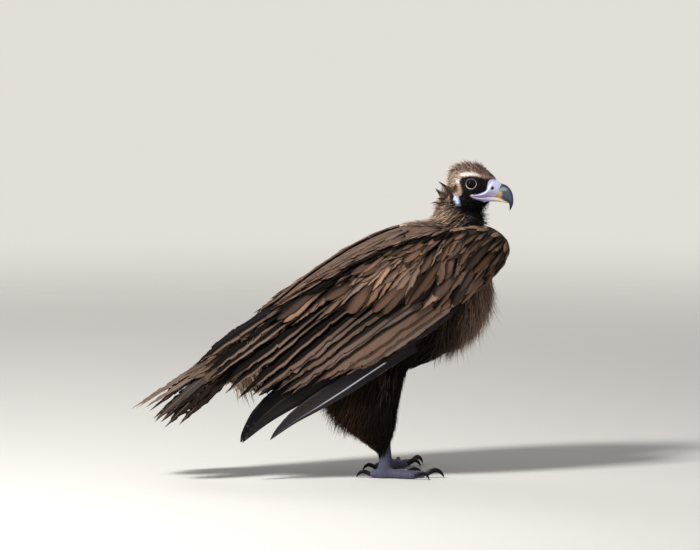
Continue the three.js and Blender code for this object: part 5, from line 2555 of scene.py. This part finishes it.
@dataclass
class HeadCoat:
    """The down of head and neck and the ruff about the neck's foot."""

    plumage: Plumage
    tufts: tuple[tuple[tuple[float, ...], tuple[float, ...], tuple[float, ...], int], ...] = (
        ((298, -12, 650), (292, -12, 677), (265, -8, 691), 30),
        ((290, -18, 638), (270, -20, 640), (250, -16, 632), 14),
        ((294, -16, 642), (276, -16, 648), (262, -10, 649), 12),
        ((296, -14, 648), (282, -14, 660), (272, -9, 667), 12),
        ((292, 12, 646), (276, 14, 662), (264, 12, 672), 18),
        ((290, 18, 636), (270, 20, 640), (252, 18, 634), 14),
    )

    def ruff(self) -> None:
        """The loose brown collar, with tufts that stand at the nape."""
        mesh = self.plumage.mesh("ruff_feathers", 101)
        rng = mesh.rng
        x, z = self.plumage.base.middles[:, 0], self.plumage.base.middles[:, 2]
        high = np.interp(x, [250, 284, 300, 330, 345], [700, 690, 652, 618, 560])
        collar = self.plumage.on("ruff", "neck", "trunk") & (z < high) & (z > 585) & (x < 345)
        roots, normals = self.plumage.roots(collar, 3.7, rng, 45)
        count = len(roots)
        style = replace(
            WISP, rows=8, root=0.6, fullest=0.35, tip=1.15, ragged=0.35, camber=0.45, ridge=0.1,
            rise=0.14, base=1.5, curl=0.16, dark_to=0.8
        )
        climb = np.interp(roots[:, 2], [585, 620, 650, 690], [-1.1, -0.8, -0.1, 0.6])
        lead = np.stack([-np.ones(count), np.sign(roots[:, 1]) * 0.15, climb], 1)
        ways = flattened(lead + rng.normal(0, 0.2, (count, 3)), normals)
        spine, up = self.plumage.fly(roots, ways, rng.uniform(20, 38, count), style)
        tone = varied(rng, dye(204, 174, 152), count, 0.5)
        front = smooth_between(296, 340, roots[:, :1] + 0.3 * (roots[:, 2:] - 600))
        # The front is darkened towards the black neck's own colour; the darkening towards the top is
        # painted shade under the head.
        tone = tone * (1 - 0.72 * front) * (1 - 0.6 * smooth_between(622, 648, roots[:, 2:]))
        # The cushion both swells the ruff outward and lightens its middle against darker surroundings:
        # painted light on the rounded part.
        bulge_and_painted_light = np.exp(-(((roots[:, 0] - 294) / 26) ** 2) - ((roots[:, 2] - 614) / 18) ** 2)
        tone = tone * (0.62 + 0.75 * bulge_and_painted_light)[:, None]
        spine = spine + up * (5.0 * bulge_and_painted_light)[:, None, None]
        mesh.add(
            spine, up, rng.uniform(0.9, 1.9, count), style, grown(tone, 0.12), np.zeros(count),
            rng.normal(0, 0.3, count)
        )
        for tuft in self.tufts:
            self._tuft(mesh, *tuft)
        mesh.made(self.plumage.finishes["down"], "ruff_down")

    @staticmethod
    def _tuft(
        mesh: VaneMesh, root: tuple[float, ...], bend: tuple[float, ...], tip: tuple[float, ...], count: int
    ) -> None:
        """Strands that draw together into one curved tuft.

        Args:
            mesh: The piece that they join.
            root: Where the tuft starts.
            bend: The middle of its curve.
            tip: Its point.
            count: How many strands.
        """
        rng = mesh.rng
        style = replace(WISP, rows=10, root=0.8, ragged=0.2, rise=0, base=0, dark_to=0.8)
        t = style.shares()[None, :, None]
        off = rng.normal(0, 1, (count, 1, 3)) * (5.0, 4.0, 3.5) * (1.05 - t)
        start, middle, end = (np.array(p, float) for p in (root, bend, tip))
        t = t * rng.uniform(0.72, 1.0, (count, 1, 1))
        spine = start * (1 - t) ** 2 + middle * 2 * t * (1 - t) + end * t * t + off
        up = np.tile(np.array([-0.2, np.sign(start[1]), 0.2]), (count, style.rows + 1, 1))
        tone = varied(rng, dye(84, 66, 54), count, 0.25)
        mesh.add(
            spine, unit(up), rng.uniform(0.7, 1.2, count), style, grown(tone, 1.0, 0.7), np.zeros(count)
        )

    def down(self) -> None:
        """The short down of the head: mottled crown, cream brow and black mask."""
        marks, stance, spots = self.plumage.markings, self.plumage.stance, self.plumage.hide.middles
        q = stance.in_head(spots)
        on_eye = (stance.from_eye(q) < 14.8) & (np.abs(q[:, 1]) > 18)
        bare = (marks.bill_skin(q) > 0.3) | (marks.bare_ear(q) > 0.6) | on_eye
        on_head = (q[:, 0] > -72) & (q[:, 0] < 62) & (q[:, 2] > -58) & (spots[:, 2] > HEAD_FOOT)
        on_neck = (spots[:, 2] > 588) & (spots[:, 0] > 285) & (np.abs(spots[:, 1]) < 75) & ~on_head
        self._laid("head_down", on_head & ~bare, 1.75, 111)
        self._laid("neck_down", on_neck, 2.6, 115)

    def _laid(self, name: str, wanted: np.ndarray, spacing: float, seed: int) -> None:
        """Lays one piece of down on the skin.

        Args:
            name: The piece's name.
            wanted: For each triangle of the skin, whether it bears down.
            spacing: The least distance between tufts.
            seed: Seed of its random source.
        """
        hide, marks, stance = self.plumage.hide, self.plumage.markings, self.plumage.stance
        mesh = self.plumage.mesh(name, seed)
        rng = mesh.rng
        roots, triangles = hide.scatter(wanted, spacing, rng)
        normals = hide.normals_at(triangles)
        q = stance.in_head(roots)
        count = len(roots)
        crown = smooth_between(27, 40, q[:, 2]) * smooth_between(64, 34, q[:, 0])
        nape = smooth_between(-24, -46, q[:, 0])
        below = smooth_between(-24, -50, q[:, 2])
        throat = below * smooth_between(-10, 20, q[:, 0])
        lengths = 3.8 + 7.5 * crown + 6 * nape + 5 * below + 7 * throat
        lengths = lengths * smooth_between(13, 26, stance.from_eye(q)).clip(0.5, 1)
        lengths *= rng.uniform(0.7, 1.35, count)
        lead = np.array([-1.0, 0.0, -0.45]) + rng.normal(0, 0.4, (count, 3))
        ways = flattened(stance.out_of_head(lead, False), normals)
        style = replace(
            WISP, rows=3, tip=1.2, ragged=0.2, ridge=0.1, rise=0.34, base=-0.2, curl=0.2, crowd=1.0
        )
        spine, up = self.plumage.fly(roots, ways, lengths, style, hide)
        fluff = 0.3 * np.maximum(np.maximum(crown, nape), throat) * lengths * rng.uniform(0.2, 1.8, count)
        spine = spine + up * fluff[:, None, None] * style.shares()[None, :, None]
        tone = marks.head(roots + ways * 1.2 + rng.normal(0, 1.2, (count, 3)))
        clump = np.sin(q[:, 0] * 0.7 + 2.2 * np.sin(q[:, 2] * 0.36 + q[:, 1] * 0.3))
        clump = clump * np.sin(q[:, 1] * 0.5 + q[:, 2] * 0.62)
        mottle = smooth_between(0.0, 0.4, clump) * np.maximum(smooth_between(22, 34, q[:, 2]), nape * 0.7)
        pepper = (rng.random(count) < 0.3) * np.maximum(smooth_between(24, 32, q[:, 2]), nape)
        tone = tone * np.exp(rng.normal(0, 0.3, (count, 1)) + (0.3 - 1.4 * mottle - 1.2 * pepper)[:, None])
        mesh.add(
            spine, up, rng.uniform(0.4, 0.75, count) * (0.85 + 0.5 * crown + 0.4 * below), style,
            grown(tone, 0.6, 1.1), np.zeros(count)
        )
        mesh.made(self.plumage.finishes["down"], "head_down")


# ---------------------------------------------------------------- studio
@dataclass
class Studio:
    """Plain pale floor, soft lamps and a long lens."""

    stance: Stance
    azimuth: float = math.radians(-10)
    elevation: float = math.radians(5.5)
    away: float = 14.0
    view_width: float = 1.645
    across: float = 58.75
    rise: float = 470.0
    pale: Colour = dye(226, 222, 216)
    grain: Colour = dye(206, 201, 194)
    sky: Colour = (0.93, 0.96, 1.0)
    lit: tuple[float, float, float] = (0, 0, 0.4)

    def axes(self) -> tuple[np.ndarray, np.ndarray, np.ndarray]:
        """The camera's right, up and back directions.

        Returns:
            The three unit vectors.
        """
        a, e = self.azimuth, self.elevation
        right = np.array([math.cos(a), math.sin(a), 0])
        back = np.array([math.sin(a) * math.cos(e), -math.cos(a) * math.cos(e), math.sin(e)])
        return right, np.cross(back, right), back

    def camera(self) -> None:
        """A long lens from a little above the floor."""
        right, up, back = self.axes()
        target = self.stance.to_frame(right * self.across + up * self.rise)
        data = bpy.data.cameras.new("camera")
        data.sensor_width = 36.0
        data.lens = 36.0 * self.away / self.view_width
        data.clip_start, data.clip_end = 0.5, 100.0
        bpy.context.scene.camera = self._hung(data, Vector(target + back * self.away), -Vector(back))

    @staticmethod
    def _hung(data: bpy.types.Camera | bpy.types.Light, spot: Vector, way: Vector) -> bpy.types.Object:
        """Hangs a camera or lamp at a spot, so that it looks along a direction.

        Args:
            data: The camera's or lamp's data.
            spot: Where it hangs.
            way: Where it looks.

        Returns:
            The new object.
        """
        item = bpy.data.objects.new(data.name, data)
        item.location = spot
        item.rotation_mode = "QUATERNION"
        item.rotation_quaternion = way.to_track_quat("-Z", "Y")
        bpy.context.collection.objects.link(item)
        return item

    def floor(self) -> None:
        """A pale floor that keeps the bird's shadow and fades into the backdrop far off."""
        bpy.ops.object.select_all(action="DESELECT")
        bpy.ops.mesh.primitive_circle_add(vertices=96, radius=9, fill_type="NGON")
        floor = bpy.context.object
        floor.name = "floor"
        material = bpy.data.materials.new("pale_floor")
        board = NodeBoard.cleared(material)
        place = board.place()
        reach = board.add("ShaderNodeVectorMath", {0: place}, operation="LENGTH")
        grain = board.noise(place, 60.0, 3.0)
        tone = board.mix(board.scaled(grain, 0.1), self.pale, self.grain)
        matt = board.add("ShaderNodeBsdfPrincipled", {"Roughness": 0.9, "Base Color": tone})
        clear = board.add("ShaderNodeBsdfTransparent")
        share = board.ramp(reach.outputs["Value"], 1.2, 6.5)
        self._blend(board, "ShaderNodeOutputMaterial", share, matt, clear)
        floor.data.materials.append(material)

    @staticmethod
    def _blend(
        board: NodeBoard, output: str, share: bpy.types.NodeSocket, *shaders: bpy.types.Node
    ) -> None:
        """Ends a board with an output of two shaders, mixed by a share.

        Args:
            board: The board.
            output: The output's node type.
            share: How much of the second shader shows.
            shaders: The two shaders.
        """
        inputs = {0: share, 1: shaders[0].outputs[0], 2: shaders[1].outputs[0]}
        blend = board.add("ShaderNodeMixShader", inputs)
        board.add(output, {"Surface": blend.outputs[0]})

    def lamps(self) -> None:
        """One large key lamp high on the left, a weak fill on the right and an even sky."""
        for name, spot, size, power in (
            ("key", (-2.1, -1.5, 3.3), 0.7, 190.0), ("fill", (2.8, -3.0, 1.2), 2.4, 10.0),
            ("back", (-0.8, 2.8, 2.6), 1.6, 26.0)
        ):
            data = bpy.data.lights.new(name, "AREA")
            data.size, data.energy = size, power
            self._hung(data, Vector(spot), Vector(self.lit) - Vector(spot))
        world = bpy.data.worlds.new("sky")
        bpy.context.scene.world = world
        board = NodeBoard.cleared(world)
        path = board.add("ShaderNodeLightPath").outputs
        seen = board.maths("MAXIMUM", path["Is Camera Ray"], path["Is Transmission Ray"])
        seen = board.maths("MAXIMUM", seen, path["Is Glossy Ray"])
        light = board.add("ShaderNodeBackground", {"Color": self.sky, "Strength": 0.2})
        shown = board.add("ShaderNodeBackground", {"Color": self.pale, "Strength": 1.0})
        self._blend(board, "ShaderNodeOutputWorld", seen, light, shown)

    def build(self) -> None:
        """Sets the whole studio up."""
        self.camera()
        self.floor()
        self.lamps()
        bpy.context.scene.view_settings.view_transform = "Standard"


def dressed_finishes(effects: SharedEffects) -> dict[str, bpy.types.Material]:
    """Builds every finish once.

    Args:
        effects: The shared node groups.

    Returns:
        The materials by their use.
    """
    tan, dusk = dye(172, 128, 96), dye(112, 98, 94)
    kinds = {
        "hide": HideFinish("bare_skin", bump=0.5),
        "horn": HornFinish("bill_horn", roughness=0.3),
        "claw": HornFinish("claw_horn", roughness=0.42, band=0.2, coat=0.03, gloss=0.12),
        "eye": EyeFinish("wet_eye", roughness=0.25),
        "flight": FeatherFinish(
            "flight_vanes", roughness=0.6, bump=0.5, worn=dye(158, 126, 102), spacing=0.0016
        ),
        "primary": FeatherFinish(
            "dark_primary_vanes", roughness=0.5, bump=0.7, worn=dusk, spacing=0.005, contrast=1.3,
            gloss=0.06, pale_shaft=dye(120, 122, 136)
        ),
        "quill": FeatherFinish(
            "white_quill_vanes", roughness=0.5, bump=0.9, worn=dusk, spacing=0.006, contrast=1.4,
            shaft=dye(92, 94, 112), pale_shaft=dye(226, 228, 240), shaft_width=0.0019, gloss=0.08
        ),
        "tail": FeatherFinish(
            "tail_vanes", roughness=0.6, bump=0.5, worn=dye(178, 146, 116), spacing=0.0016,
            shaft=dye(128, 106, 88), shaft_width=0.0013
        ),
        "covert": FeatherFinish("covert_vanes", roughness=0.64, bump=0.5, worn=tan),
        "contour": FeatherFinish("contour_vanes", roughness=0.66, bump=0.5, worn=tan),
        "loose": FeatherFinish(
            "loose_vanes", roughness=0.8, bump=0.3, worn=dye(128, 104, 84), shaft_share=0.2, gloss=0.02
        ),
        "down": FeatherFinish(
            "down_tufts", roughness=0.85, bump=0.2, shaft_share=0.0, contrast=0.5, gloss=0.02
        ),
    }
    return {use: finish.made(effects) for use, finish in kinds.items()}


def support(stance: Stance, skin: Skin) -> tuple[Surface, np.ndarray, list[str], Surface]:
    """Makes the closed form that the coat is laid over, then takes it away again.

    Args:
        stance: Where the bird stands.
        skin: The skin.

    Returns:
        The form's surface, each triangle's node number, the nodes' names and all the solids as one surface.
    """
    long = ["tail"] + [f"{part}_{side}" for part in ("secondaries", "primaries") for side in SIDES]
    names = skin.nodes + long
    solids, source = copied("solids", names)
    reader = Surface(stance, solids)
    flights, _ = copied("flights", long)
    wrap = skin.piece.copy()
    wrap.data = skin.piece.data.copy()
    wrap.parent = None
    bpy.context.collection.objects.link(wrap)
    only(flights, wrap)
    bpy.ops.object.join()
    apply_new(flights, "REMESH", mode="VOXEL", voxel_size=0.005)
    apply_new(flights, "SMOOTH", factor=0.5, iterations=8)
    base = Surface(stance, flights)
    _, _, triangles = reader.nearest(base.middles)
    label = source[reader.face_of[triangles]]
    for piece in (solids, flights):
        bpy.data.objects.remove(piece, do_unlink=True)
    return base, label, names, reader


def main() -> None:
    """Loads the frame, builds the bird piece by piece and reports each."""
    logging.basicConfig(level=logging.INFO, format="%(name)s: %(message)s")
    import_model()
    stance = Stance.from_frame()
    Studio(stance).build()
    markings = Markings(stance)
    finishes = dressed_finishes(SharedEffects())
    skin = Skin(stance, markings)
    skin.build(finishes["hide"])
    Bill(stance).upper(finishes["horn"])
    Bill(stance).lower(finishes["horn"])
    Eyes(stance).build(finishes["eye"])
    Claws(stance).build(finishes["claw"])
    base, label, names, solids = support(stance, skin)
    plumage = Plumage(
        stance, markings, Surface(stance, skin.piece), skin.map_of_faces(), base, label, names, solids,
        finishes
    )
    for side, tuck in ((-1, 0.0), (1, 84.0)):
        FlightFeathers(plumage, side, tuck).build()
        WingCoverts(plumage, side).build()
    TailFeathers(plumage).build()
    body, head = BodyCoat(plumage), HeadCoat(plumage)
    makers = {
        Tract.MANTLE: body.mantle, Tract.BREAST: body.breast, Tract.THIGHS: body.thighs,
        Tract.RUFF: head.ruff, Tract.HEAD: head.down
    }
    for tract, make in makers.items():
        LOG.info("laying the %s", tract.value)
        make()


if __name__ == "__main__":
    main()
